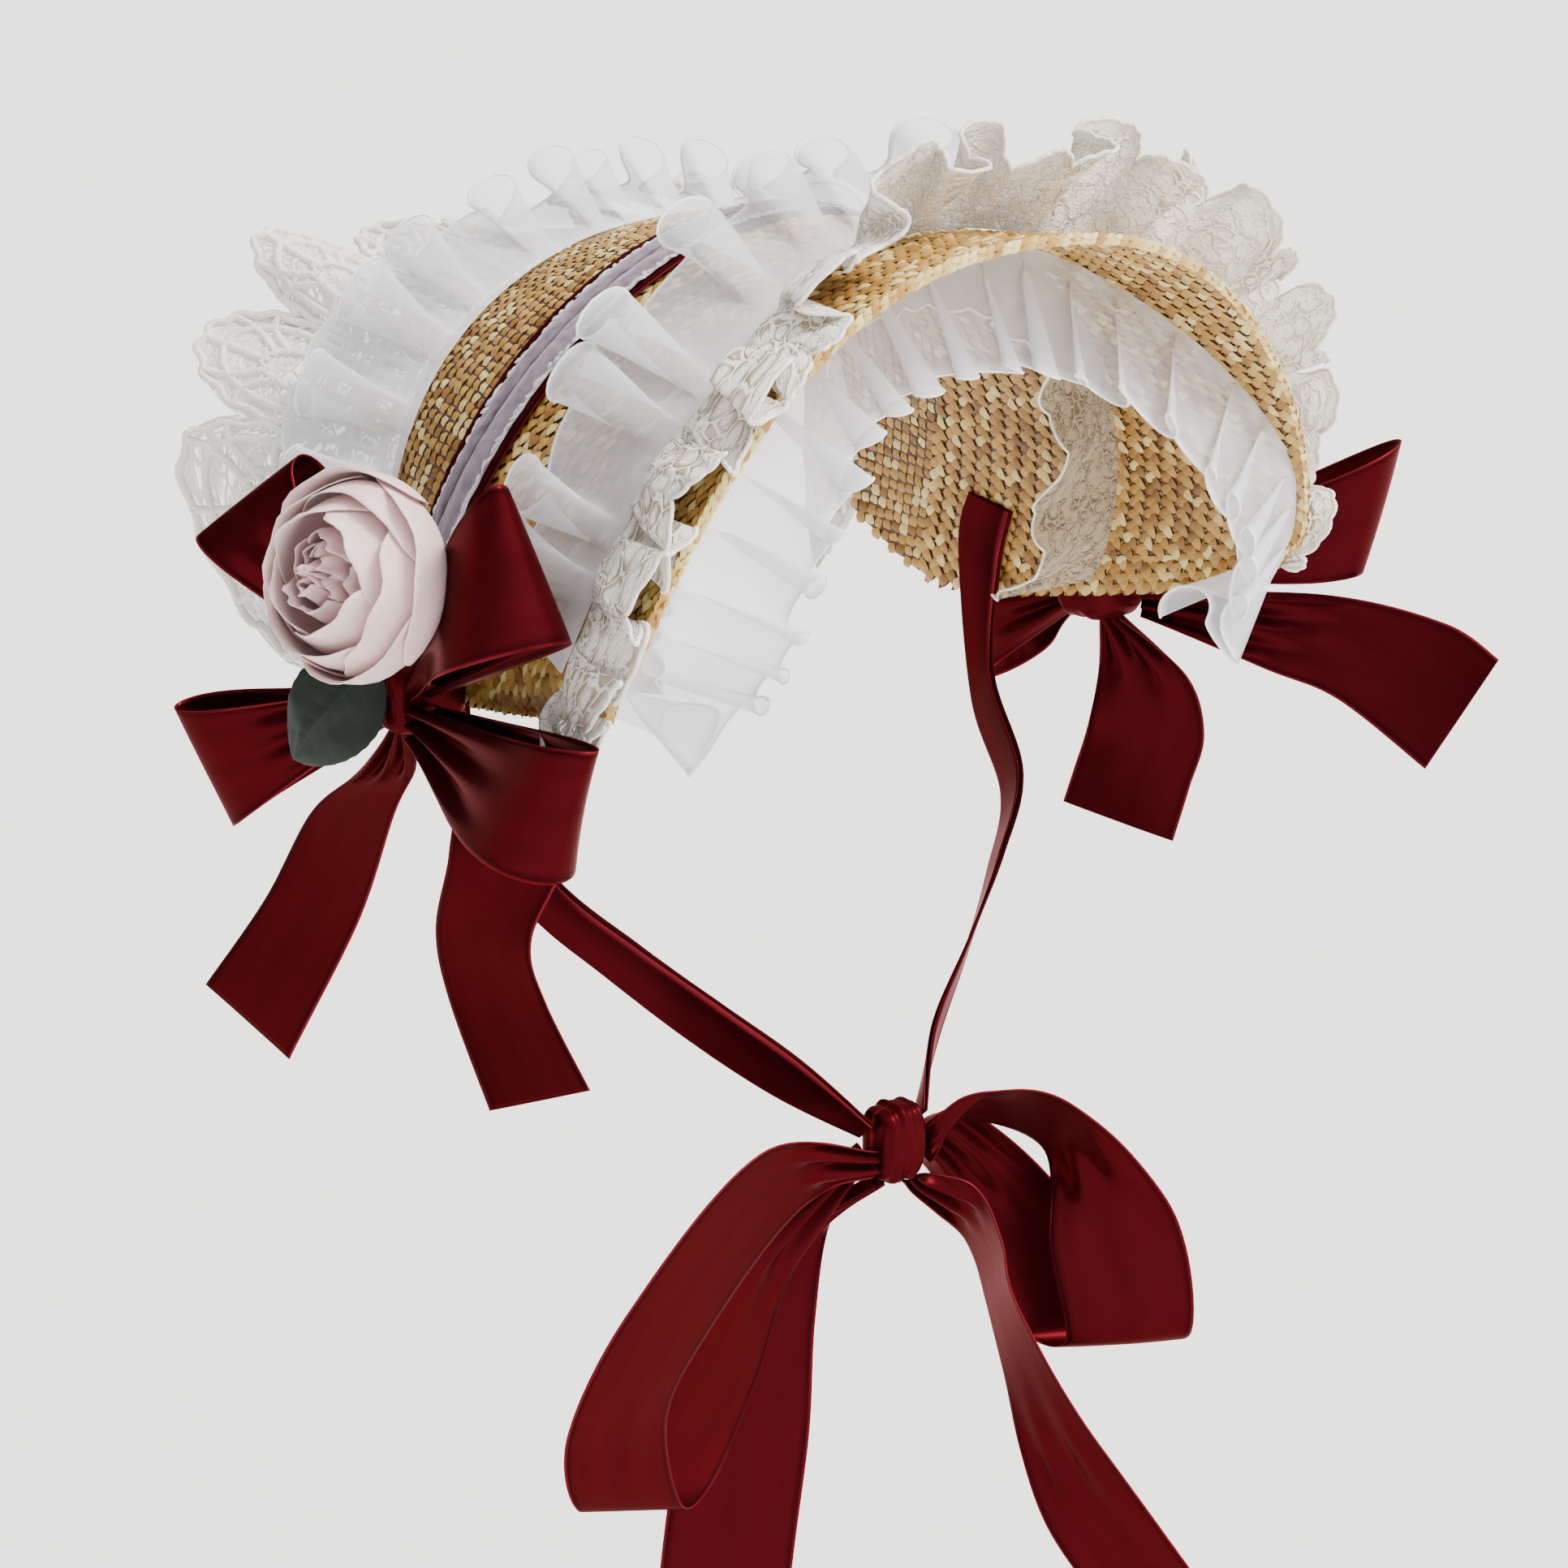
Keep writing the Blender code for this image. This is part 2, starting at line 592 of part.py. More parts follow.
def make_bow(prefix, knot, side, loops, tails, root):
    axes = bow_axes(side)
    make_knot(f"{prefix}_knot", knot, axes, (KNOT_LENGTH, KNOT_HEIGHT, KNOT_DEPTH), root)
    for row in columns(loops):
        make_loop(f"{prefix}_{row['name']}", knot, axes, row)
    for row in columns(tails):
        make_ribbon(f"{prefix}_{row['name']}", from_knot(knot, axes, row["stops"]))


def make_rose():
    """Rings of petals in one closed body: the profile rises over each ring's rim and dips between rings."""
    # share of the radius, share of the height, how many petals the ring has, how deep they are cut
    profile = (
        ("radius", "height", "petals", "cut"),
        (0.42, -0.42, 5, 0.0),
        (0.80, -0.28, 5, 0.05),
        (1.0, 0.05, 5, 0.10),
        (0.97, 0.30, 5, 0.14),
        (0.86, 0.38, 5, 0.10),
        (0.76, 0.12, 5, 0.05),
        (0.74, 0.42, 4, 0.12),
        (0.66, 0.56, 4, 0.12),
        (0.54, 0.24, 4, 0.05),
        (0.50, 0.54, 5, 0.14),
        (0.42, 0.66, 5, 0.12),
        (0.32, 0.36, 5, 0.05),
        (0.26, 0.60, 3, 0.12),
        (0.16, 0.66, 3, 0.10),
    )
    around = 22
    forward, up, out = bow_axes(-1)
    centre = place(KNOT_RIGHT, (forward, up, out), ROSE_AT)
    axis = direction((forward, up, out), ROSE_AXIS).normalized()
    side = axis.cross(up).normalized()
    over = side.cross(axis)
    mesh = bmesh.new()
    rings = []
    for k, row in enumerate(columns(profile)):
        ring = []
        for i in range(around):
            angle = math.tau * i / around
            petal = abs(math.sin(angle * row["petals"] / 2 + k * 0.9))
            radius = ROSE_RADIUS * row["radius"] * (1 - row["cut"] * (1 - petal))
            height = ROSE_HEIGHT * (row["height"] - row["cut"] * (1 - petal))
            ring.append(
                mesh.verts.new(centre + axis * height + (side * math.cos(angle) + over * math.sin(angle)) * radius)
            )
        rings.append(ring)
    for a, b in zip(rings, rings[1:]):
        for i in range(around):
            j = (i + 1) % around
            mesh.faces.new((a[i], a[j], b[j], b[i]))
    mesh.faces.new(list(reversed(rings[0])))
    mesh.faces.new(rings[-1])
    bmesh.ops.triangulate(mesh, faces=[f for f in mesh.faces if len(f.verts) > 4])
    finish("rose", mesh, PETAL)


def make_leaf():
    axes = bow_axes(-1)
    foot, tip = place(KNOT_RIGHT, axes, LEAF_FOOT), place(KNOT_RIGHT, axes, LEAF_TIP)
    way = tip - foot
    across = way.cross(direction(axes, LEAF_FACE)).normalized()
    out = across.cross(way).normalized()
    if out.dot(axes[2]) < 0:
        out = -out
    lines = [[], [], [], [], []]
    steps = 8
    for i in range(steps + 1):
        t = i / steps
        half = LEAF_WIDTH / 2 * (0.10 + 0.90 * math.sin(math.pi * t**0.8) ** 0.7) if i < steps else 0.0012
        for line, side in zip(lines, (-1, -0.5, 0, 0.5, 1)):
            arch = 0.006 * math.sin(math.pi * t) - 0.003 * abs(side) * min(1, 3 * t)
            line.append(foot + way * t + across * half * side + out * arch)
    cloth("leaf", lines, CLOTH, LEAF)


def make_chin():
    front = (Vector((1, 0, 0)), Vector((0, 0, 1)), Vector((0, -1, 0)))
    make_knot("chin_knot", CHIN_KNOT, front, CHIN_KNOT_SIZE)
    for row in columns(TIES_CHIN):
        make_ribbon(f"chin_{row['name']}", from_knot(CHIN_KNOT, front, row["stops"]), row["steps"])
    for name, side in (("right", -1), ("left", 1)):
        make_strap(name, side)


def make_strap(name, side):
    """Half of the strap, from inside the bonnet's foot round the jaw to the chin knot, folded lengthwise."""
    front = (Vector((1, 0, 0)), Vector((0, 0, 1)), Vector((0, -1, 0)))
    stops = []
    for turn, away in STRAP_TURNS:
        _, _, forward, _ = frame(turn, STRAP_SHARE)
        inside = off_shell(turn, STRAP_SHARE, -STRAW_THICK - LAY_GAP - RIBBON_THICK / 2 - away)
        stops.append((inside, forward * -STRAP_HALF * RIBBON_WIDTH))
    rows = columns(STRAP_STOPS)
    points = [place(CHIN_KNOT, front, row["at"]) for row in rows]
    for i, row in enumerate(rows):
        way = points[min(i + 1, len(rows) - 1)] - points[max(0, i - 1)]
        half = way.cross(direction(front, row["faces"])).normalized()
        stops.append((points[i], half * row["wide"] * STRAP_HALF * RIBBON_WIDTH))
    for middle, half in stops:
        middle.x *= -side
        half.x *= -side
    make_ribbon(f"chin_strap_{name}", stops, 16)


def main():
    for old in list(bpy.data.objects):
        bpy.data.objects.remove(old)
    collection = bpy.data.collections.new("straw_bonnet")
    bpy.context.scene.collection.children.link(collection)
    make_crown()
    make_brim()
    make_band()
    make_brim_frills()
    make_inner_frills()
    make_back_frills()
    make_bow("bow_right", KNOT_RIGHT, -1, LOOPS_RIGHT, TAILS_RIGHT, ROOT_RIGHT)
    make_bow("bow_left", KNOT_LEFT, 1, LOOPS_LEFT, TAILS_LEFT, ROOT_LEFT)
    make_rose()
    make_leaf()
    make_chin()


main()
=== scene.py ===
"""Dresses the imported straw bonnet: plaited straw, sheer and lace frills, satin bows, a rose and ties."""

import bisect
import math
import random

import bmesh
import bpy
from mathutils import Matrix, Vector, noise


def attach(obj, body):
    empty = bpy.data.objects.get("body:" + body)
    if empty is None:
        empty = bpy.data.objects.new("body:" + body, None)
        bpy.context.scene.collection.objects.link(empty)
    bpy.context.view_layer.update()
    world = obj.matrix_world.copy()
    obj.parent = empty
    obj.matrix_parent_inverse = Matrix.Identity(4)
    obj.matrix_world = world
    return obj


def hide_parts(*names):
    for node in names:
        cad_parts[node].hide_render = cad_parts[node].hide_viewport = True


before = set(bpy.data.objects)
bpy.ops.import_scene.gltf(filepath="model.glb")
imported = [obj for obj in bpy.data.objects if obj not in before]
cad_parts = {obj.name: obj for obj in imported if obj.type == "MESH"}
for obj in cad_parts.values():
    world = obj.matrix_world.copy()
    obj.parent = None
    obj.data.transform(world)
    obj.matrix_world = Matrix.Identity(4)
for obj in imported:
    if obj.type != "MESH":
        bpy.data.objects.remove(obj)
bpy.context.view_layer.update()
MM = 0.001

# camera and room
LOOK_AT = Vector((0.007, 0.005, -0.2007))
CAMERA_TURN = math.radians(38.8)
CAMERA_RISE = math.radians(17)
CAMERA_AWAY = 1.4
LENS = 36 * 3500 * CAMERA_AWAY / 1932
FLOOR_Z = -0.78
# where the light comes from, as shares of right, up and towards the camera; the key's up is straight up
GLOW_FROM = (0.78, 0.50, 0.12)
KEY_FROM = (0.85, 1.15, 0.22)
KEY_STRENGTH = 5.0

# straw shell, as in the solids: a share runs from the back edge at 0 to the rim at 1, and a turn from the
# wearer's right foot at -1 over the top at 0 to the left foot at 1; sizes are metres
STRAW_THICK = 0.0025
BAND_SHARE = 0.39
ARCHES = (
    ("share", "half_width", "height", "foot_z", "top_y", "foot_y", "fullness", "roundness", "reach", "sweep"),
    (0.0, 0.106, 0.131, -0.145, 0.083, 0.085, 1.10, 0.58, 90.0, 1.0),
    (BAND_SHARE, 0.115, 0.158, -0.1555, 0.0, 0.0585, 0.98, 0.90, 90.0, 1.15),
    (1.0, 0.146, 0.1235, -0.1135, -0.132, -0.090, 0.84, 1.42, 105.5, 0.60),
)
CROWN_SWELL = 0.004
BRIM_DIP = 0.002
# the crown's woven cells and the brim's plaited strands, a little coarser than real ones so that they show
CELL = 4.2 * MM
CELL_RISE = 1.0 * MM
CELL_JITTER = 21
CROWN_ROWS = 24
PLAIT = 6.6 * MM
BRIM_ROWS = 50
STRAND_LENGTH = 7.8 * MM
STRAND_WIDTH = 3.7 * MM
STRAND_PITCH = 5.2 * MM
STRAND_SLANT = 27
RIM_STRAND = (6.2 * MM, 3.4 * MM)
RIM_PITCH = 3.6 * MM
FOOT_TURN = 0.985
CORE_TURN = 0.984
CORE_FACES = (-0.95 * MM, -1.55 * MM)

# cloth
LAY_GAP = 0.0006
INSIDE = -STRAW_THICK - LAY_GAP
SATIN_WALL = 0.0005
CREASES = 2.5
STRAP_WALL = 0.0003
RIBBON_WIDTH = 0.050
BAND_WIDTH = 0.030
BAND_LENGTH = 0.42
BAND_REACH = 0.97
FRAY_REACH = 0.965
FRAYS = 150
TRIM_WIDTH = 0.020
BRIM_FRILL_TOP = 0.74
BRIM_FRILL_SIDE = 0.845
BRIM_ORGANZA_LENGTH = 0.044
BRIM_LACE_LENGTH = 0.033
BRIM_LACE_CUT = 0.040
SEWN_APART = 0.004
INNER_TOP = 0.78
INNER_SIDE = 0.985
INNER_LENGTH = 0.044
INNER_LACE_SHARE = 0.70
INNER_LACE_LENGTH = 0.040
BACK_ORGANZA_SHARE = 0.075
BACK_ORGANZA_LENGTH = 0.040
BACK_LACE_SHARE = 0.025
BACK_LACE_LENGTH = 0.084
BRIM_WAVES = 15.5
LACE_WAVES = 14
INNER_PLEATS = 23
BACK_WAVES = 13
LOBES = 12
LOBE_BARS = 7
SCALLOPS = 24
# each frill's reach round the arch, its grid along and out, its cord's radius, and the strip it is cut from:
# sewn frills take one and a half times their seam, pleats take two, flat lace one
FRILLS = (
    ("node", "name", "slot", "reach", "across", "out", "hem", "wide", "fullness"),
    ("brim_organza", "brim_frill", "organza", 0.86, 560, 16, 0.50 * MM, BRIM_ORGANZA_LENGTH, 1.5),
    ("brim_lace", "brim_lace_frill", "cotton_lace", 0.97, 900, 26, 0.75 * MM, BRIM_LACE_CUT, 1.5),
    ("inner_ruffle", "inner_frill", "organza", 0.97, 1100, 12, 0.45 * MM, INNER_LENGTH, 2.0),
    ("inner_lace", "inner_lace_frill", "cotton_lace", 0.96, 360, 16, 0.50 * MM, INNER_LACE_LENGTH, 1.0),
    ("back_organza", "back_frill", "organza", 0.90, 520, 14, 0.45 * MM, BACK_ORGANZA_LENGTH, 1.5),
    ("back_lace", "back_lace_net", "cotton_lace", 0.97, 240, 16, 1.50 * MM, BACK_LACE_LENGTH, 1.0),
)

# bows
KNOT_RIGHT = Vector((-0.142, 0.020, -0.144))
KNOT_LEFT = Vector((0.150, -0.008, -0.146))
KNOT_LENGTH = 0.028
KNOT_HEIGHT = 0.026
KNOT_DEPTH = 0.016
KNOT_GAP = 0.0006
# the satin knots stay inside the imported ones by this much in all, and reach in to the straw by their root
KNOT_INSET = 0.4 * MM
KNOT_ROOT_RIGHT = 0.013
KNOT_ROOT_LEFT = 0.014
PINCH = 0.24
BOW_TURN = 0.15
ROSE_AT = (1.315, 1.17, 0.88)
ROSE_AXIS = (0.36, 0.24, 0.90)
ROSE_RADIUS = 0.031
ROSE_HEIGHT = 0.036
LEAF_FOOT = (0.02, 0.20, 0.19)
LEAF_TIP = (-0.40, -0.47, 0.62)
LEAF_FACE = (0.55, 0.10, 0.80)
LEAF_WIDTH = 0.034
CHIN_KNOT = Vector((0.0, -0.064, -0.312))
CHIN_KNOT_SIZE = (0.022, 0.028, 0.018)

LOOPS_RIGHT = (
    ("name", "fold", "half", "puff", "flare", "start", "side"),
    ("loop_back_up", (-1.30, 1.12, 0.46), (0.33, 0.33, -0.27), 0.20, 0.0, 0.165, -1),
    ("loop_back_low", (-1.80, -0.86, 0.66), (0.01, -0.48, -0.20), 0.14, 0.0, -0.165, -1),
    ("loop_front_up", (2.43, 1.40, 0.36), (0.10, -0.45, -0.04), 0.27, 0.5, 0.14, 1),
    ("loop_front_low", (2.78, -0.08, 0.22), (-0.20, -0.47, 0.05), 0.24, 0.3, -0.14, 1),
)
LOOPS_LEFT = (
    ("name", "fold", "half", "puff", "flare", "start", "side"),
    ("loop_front_up", (1.78, 0.66, 0.86), (0.10, 0.48, 0.06), 0.34, 0.2, 0.14, 1),
    ("loop_back_up", (-1.30, 0.75, 0.40), (0.10, 0.46, -0.10), 0.26, 0.0, 0.14, -1),
    ("loop_back_low", (-1.50, -0.62, 0.44), (0.05, -0.48, 0.08), 0.26, 0.0, -0.14, -1),
)
TAILS_RIGHT = (
    ("name", "stops"),
    (
        "tail_back",
        (
            ((-0.13, -0.271, -0.06), (0.09, 0.0, 0.0)),
            ((-0.62, -0.72, -0.16), (0.32, 0.08, -0.06)),
            ((-1.16, -1.16, -0.14), (0.50, 0.12, -0.09)),
            ((-1.58, -1.98, 0.02), (0.49, 0.03, -0.14)),
            ((-2.10, -2.92, 0.32), (0.46, -0.16, -0.12)),
        ),
    ),
    (
        "tail_front",
        (
            ((0.13, -0.271, -0.06), (0.09, 0.0, 0.0)),
            ((0.84, -0.44, -0.22), (0.36, 0.08, -0.10)),
            ((1.08, -0.86, -0.20), (0.46, 0.09, -0.18)),
            ((0.90, -1.43, -0.12), (0.48, 0.08, -0.11)),
            ((1.09, -1.84, -0.12), (0.47, 0.12, -0.12)),
            ((1.68, -2.33, -0.12), (0.46, 0.20, -0.13)),
        ),
    ),
)
TAILS_LEFT = (
    ("name", "stops"),
    (
        "tail_front",
        (
            ((0.294, -0.14, 0.0), (0.0, 0.09, 0.0)),
            ((1.23, -0.30, 0.60), (0.12, 0.26, 0.20)),
            ((1.85, -0.48, 0.95), (0.25, 0.27, 0.30)),
            ((2.38, -0.81, 1.10), (0.16, 0.40, 0.20)),
        ),
    ),
    (
        "tail_down",
        (
            ((0.0, -0.271, 0.0), (0.10, 0.0, 0.0)),
            ((0.20, -0.70, 0.16), (0.30, 0.0, 0.14)),
            ((0.22, -1.15, 0.20), (0.36, -0.02, 0.24)),
            ((0.10, -1.55, 0.20), (0.36, -0.06, 0.24)),
            ((-0.02, -1.92, 0.20), (0.34, -0.14, 0.24)),
        ),
    ),
)
TIES_CHIN = (
    ("name", "stops"),
    (
        "loop_left",
        (
            ((0.236, -0.09, 0.09), (0.0, 0.10, 0.0)),
            ((0.62, 0.14, 0.12), (-0.12, 0.22, 0.28)),
            ((1.44, -0.22, 0.12), (-0.15, 0.30, 0.30)),
            ((1.96, -1.14, 0.16), (0.40, 0.12, 0.22)),
            ((2.22, -2.10, 0.10), (0.47, -0.04, 0.18)),
            ((2.04, -2.04, -0.30), (0.46, -0.02, 0.14)),
            ((1.50, -1.05, -0.42), (0.38, 0.10, 0.10)),
            ((0.80, -0.30, -0.34), (0.10, 0.24, 0.06)),
            ((0.236, -0.09, -0.09), (0.0, 0.10, 0.0)),
        ),
    ),
    (
        "loop_right",
        (
            ((-0.236, -0.09, 0.09), (0.0, 0.10, 0.0)),
            ((-1.13, 0.05, 0.18), (-0.28, 0.32, 0.14)),
            ((-2.16, -0.66, 0.28), (-0.42, 0.24, 0.12)),
            ((-2.57, -1.29, 0.26), (-0.48, 0.12, 0.10)),
            ((-2.38, -2.00, 0.12), (-0.48, 0.16, 0.06)),
            ((-1.85, -2.06, -0.18), (-0.46, 0.18, 0.06)),
            ((-1.35, -1.50, -0.26), (-0.42, 0.16, 0.08)),
            ((-0.98, -0.72, -0.22), (-0.30, 0.18, 0.06)),
            ((-0.236, -0.09, -0.09), (0.0, 0.10, 0.0)),
        ),
    ),
    (
        "tail_right",
        (
            ((-0.11, -0.297, -0.06), (0.08, 0.0, 0.0)),
            ((-0.54, -0.74, -0.45), (0.32, 0.06, 0.06)),
            ((-0.86, -1.35, -0.52), (0.46, 0.00, 0.16)),
            ((-0.93, -2.18, -0.52), (0.46, 0.00, 0.18)),
            ((-1.06, -3.01, -0.52), (0.46, 0.00, 0.18)),
            ((-1.16, -3.75, -0.52), (0.46, 0.00, 0.18)),
        ),
    ),
    (
        "tail_left",
        (
            ((0.11, -0.296, 0.05), (0.08, 0.0, 0.0)),
            ((0.58, -0.62, 0.10), (-0.10, 0.22, 0.24)),
            ((0.80, -0.98, 0.10), (-0.18, 0.22, 0.36)),
            ((0.92, -1.40, 0.10), (-0.20, 0.23, 0.36)),
            ((1.14, -1.96, 0.10), (-0.14, 0.26, 0.34)),
            ((1.50, -2.73, 0.10), (0.04, 0.18, 0.32)),
            ((2.02, -3.60, 0.10), (0.34, 0.00, 0.24)),
            ((2.66, -4.50, 0.10), (0.44, -0.06, 0.16)),
        ),
    ),
)
STRAP_SHARE = 0.50
STRAP_TURNS = ((-0.84, 0.0), (-0.93, 0.001))
STRAP_HALF = 0.18
STRAP_STOPS = (
    ("at", "faces", "wide"),
    ((-2.30, 2.50, -1.72), (-1.00, 0.00, 0.15), 1.00),
    ((-2.10, 1.92, -1.16), (-0.95, -0.10, 0.30), 1.00),
    ((-1.68, 1.46, -0.86), (-0.85, -0.20, 0.50), 1.00),
    ((-1.18, 0.98, -0.60), (-0.70, -0.25, 0.70), 1.00),
    ((-0.66, 0.52, -0.34), (-0.45, -0.30, 0.85), 0.85),
    ((-0.240, 0.13, 0.00), (0.00, -0.75, 0.66), 0.50),
)


# shared working


def columns(table):
    return [dict(zip(table[0], row)) for row in table[1:]]


def smooth(low, high, value):
    t = min(1.0, max(0.0, (value - low) / (high - low)))
    return t * t * (3 - 2 * t)


def power(value, exponent):
    return math.copysign(abs(value) ** exponent, value)


ARCH_ROWS = columns(ARCHES)
FRILL_ROWS = {row["node"]: row for row in columns(FRILLS)}


def arch_at(share):
    """The arch's sizes at that share of the way from the back edge to the rim."""
    back, band, rim = ARCH_ROWS
    a, b = (back, band) if share <= BAND_SHARE else (band, rim)
    t = (share - a["share"]) / (b["share"] - a["share"])
    sizes = {k: a[k] + (b[k] - a[k]) * t for k in a}
    swell = CROWN_SWELL if share <= BAND_SHARE else -BRIM_DIP
    sizes["height"] += swell * 4 * t * (1 - t)
    return sizes


def shell(turn, share):
    """A point of the straw's outer face; turn runs from -1 at the wearer's right foot to 1 at the left."""
    s = arch_at(share)
    reach = math.radians(s["reach"])
    angle = turn * reach
    rise = power(math.cos(angle), s["roundness"])
    lift = max(0.0, (math.cos(angle) - math.cos(reach)) / (1 - math.cos(reach)))
    return Vector(
        (
            s["half_width"] * power(math.sin(angle), s["fullness"]),
            s["foot_y"] + (s["top_y"] - s["foot_y"]) * lift ** s["sweep"],
            s["foot_z"] + s["height"] * rise,
        )
    )


def frame(turn, share):
    """The point, and the directions along the arch, forward and outward there."""
    step = 0.004
    low, high = max(-FOOT_TURN, turn - step), min(FOOT_TURN, turn + step)
    if high - low < step:
        low, high = (FOOT_TURN - 2 * step, FOOT_TURN) if turn > 0 else (-FOOT_TURN, -FOOT_TURN + 2 * step)
    back, ahead = max(0.0, share - 0.01), min(1.0, share + 0.01)
    if back < BAND_SHARE < ahead:
        back, ahead = BAND_SHARE - 0.02, BAND_SHARE + 0.02
    inside = min(0.98, max(-0.98, turn))
    along = (shell(high, share) - shell(low, share)).normalized()
    forward = (shell(inside, ahead) - shell(inside, back)).normalized()
    out = forward.cross(along).normalized()
    forward = along.cross(out).normalized()
    return shell(turn, share), along, forward, out


def off_shell(turn, share, out):
    point, _, _, normal = frame(turn, share)
    return point + normal * out


def share_length():
    return (shell(0, 1) - shell(0, BAND_SHARE)).length / (1 - BAND_SHARE)


def blend(stops, t):
    """A smooth curve through the stops; each stop is a tuple of vectors."""
    last = len(stops) - 1
    i = min(int(t * last), last - 1)
    u = t * last - i
    p = [stops[min(max(k, 0), last)] for k in (i - 1, i, i + 1, i + 2)]
    return [
        (b * 2 + (c - a) * u + (a * 2 - b * 5 + c * 4 - d) * u**2 + (b * 3 - a - c * 3 + d) * u**3) / 2
        for a, b, c, d in zip(*p)
    ]


def bow_axes(side):
    """Forward, up and outward on that side of the head (-1 is the wearer's right)."""
    forward = Vector((side * BOW_TURN, -1, 0)).normalized()
    return forward, Vector((0, 0, 1)), Vector((side, BOW_TURN, 0)).normalized()


CHIN_AXES = (Vector((1, 0, 0)), Vector((0, 0, 1)), Vector((0, -1, 0)))


def direction(axes, shares):
    return sum((axis * s * RIBBON_WIDTH for axis, s in zip(axes, shares)), Vector())


def place(knot, axes, shares):
    return knot + direction(axes, shares)


def from_knot(knot, axes, stops):
    return [(place(knot, axes, middle), direction(axes, half)) for middle, half in stops]


def ripple(scale, *where):
    """Smooth noise from -1 to 1 that changes over about that length."""
    return noise.noise(Vector((*where, 0, 0)[:3]) / scale)


# materials


def colour(text):
    """An sRGB hex colour as linear red, green, blue and alpha."""
    parts = [int(text[i : i + 2], 16) / 255 for i in (0, 2, 4)]
    return tuple(c / 12.92 if c <= 0.04045 else ((c + 0.055) / 1.055) ** 2.4 for c in parts) + (1.0,)


def add(tree, kind, settings=None, inputs=None, stops=None, feeds=None):
    """Adds a node with its settings, inputs and colour stops, and may link its first output to a socket.

    An input is a value, another node's socket, or another node, which then gives its first output."""
    node = tree.nodes.new("ShaderNode" + kind)
    for name, value in (settings or {}).items():
        setattr(node, name, value)
    for name, value in (inputs or {}).items():
        if isinstance(value, bpy.types.Node):
            value = value.outputs[0]
        if isinstance(value, bpy.types.NodeSocket):
            tree.links.new(value, node.inputs[name])
        else:
            node.inputs[name].default_value = value
    for i, (position, shade) in enumerate(stops or ()):
        element = node.color_ramp.elements[i] if i < 2 else node.color_ramp.elements.new(position)
        element.position = position
        element.color = colour(shade)
    if feeds is not None:
        tree.links.new(node.outputs[0], feeds)
    return node


def new_material(name, settings):
    made = bpy.data.materials.new(name)
    made.use_nodes = True
    tree = made.node_tree
    shader = tree.nodes["Principled BSDF"]
    for key, value in settings.items():
        shader.inputs[key].default_value = value
    return made, tree, shader


def toned(tree, stops):
    """The colour that a piece's own tone picks from the stops."""
    tone = add(tree, "Attribute", {"attribute_name": "tone"})
    return add(tree, "ValToRGB", inputs={"Fac": tone.outputs["Fac"]}, stops=stops)


def uneven(tree, shader, tint, pattern, light, strength, depth):
    """Makes the tint lighter and darker by the pattern, within those shares, and raises the surface by it."""
    shade = add(tree, "MapRange", inputs={"Value": pattern, "To Min": light[0], "To Max": light[1]})
    scaled = {"Vector": tint, "Scale": shade}
    add(tree, "VectorMath", {"operation": "SCALE"}, scaled, feeds=shader.inputs["Base Color"])
    height = {"Strength": strength, "Distance": depth, "Height": pattern}
    add(tree, "Bump", inputs=height, feeds=shader.inputs["Normal"])


def plaited_straw():
    """Split wheat straw: glossy golden strips of uneven tint, with fibres along each, and painted shade in
    the gaps below.

    The fibres are drawn about 0.4 mm wide, coarser than real ones, so that they show."""
    made, tree, shader = new_material("plaited wheat straw", {"Roughness": 0.42, "Specular IOR Level": 0.45})
    # the darkest stops, at 0 and 0.12, colour only the dark wall in the gaps of the plait: painted shade
    dark_to_pale = ((0.0, "160a02"), (1.0, "e2cd88"), (0.12, "3a1e06"))
    tint = toned(tree, dark_to_pale + ((0.3, "6e4414"), (0.55, "a17630"), (0.78, "c29a4e")))
    strip = add(tree, "UVMap", {"uv_map": "UVMap"})
    stretch = add(tree, "Mapping", inputs={"Vector": strip, "Scale": (0.12, 1.5, 1.0)})
    fibre = add(tree, "TexNoise", inputs={"Vector": stretch, "Scale": 1.6, "Detail": 3.0})
    uneven(tree, shader, tint, fibre, (0.72, 1.22), 0.35, 0.3 * MM)
    return made


def satin_ribbon():
    """Polyester satin: deep maroon with a bright crimson sheen, soft creases and a thin paler selvedge; the
    creases also make the colour lighter and darker, as painted sheen and painted shade.

    The selvedge is the outer 0.8 mm, and its dark seam lies 1.3 mm in, as shares of the ribbon's width."""
    sheen = {"Metallic": 0.58, "Roughness": 0.33, "Specular IOR Level": 0.02}
    made, tree, shader = new_material("maroon polyester satin", sheen | {"Specular Tint": colour("c84058")})
    cut = add(tree, "UVMap", {"uv_map": "UVMap"})
    split = add(tree, "SeparateXYZ", inputs={"Vector": cut})
    inset = add(tree, "Math", {"operation": "PINGPONG"}, {0: split, 1: 0.5})
    selvedge = ((0.0, "6c1d25"), (1.0, "3e0a10"), (0.016, "4e1118"), (0.026, "2a060a"), (0.08, "3e0a10"))
    edge = add(tree, "ValToRGB", inputs={"Fac": inset}, stops=selvedge)
    creases = add(tree, "Mapping", inputs={"Vector": cut, "Scale": (5.0, 0.025, 1.0)})
    cloud = add(tree, "TexNoise", inputs={"Vector": creases, "Scale": 1.0, "Detail": 2.0})
    # the crease streaks make the maroon lighter on their ridges and darker in their hollows: painted sheen
    # and painted shade
    uneven(tree, shader, edge, cloud, (0.8, 1.2), 0.12, 1.0 * MM)
    return made


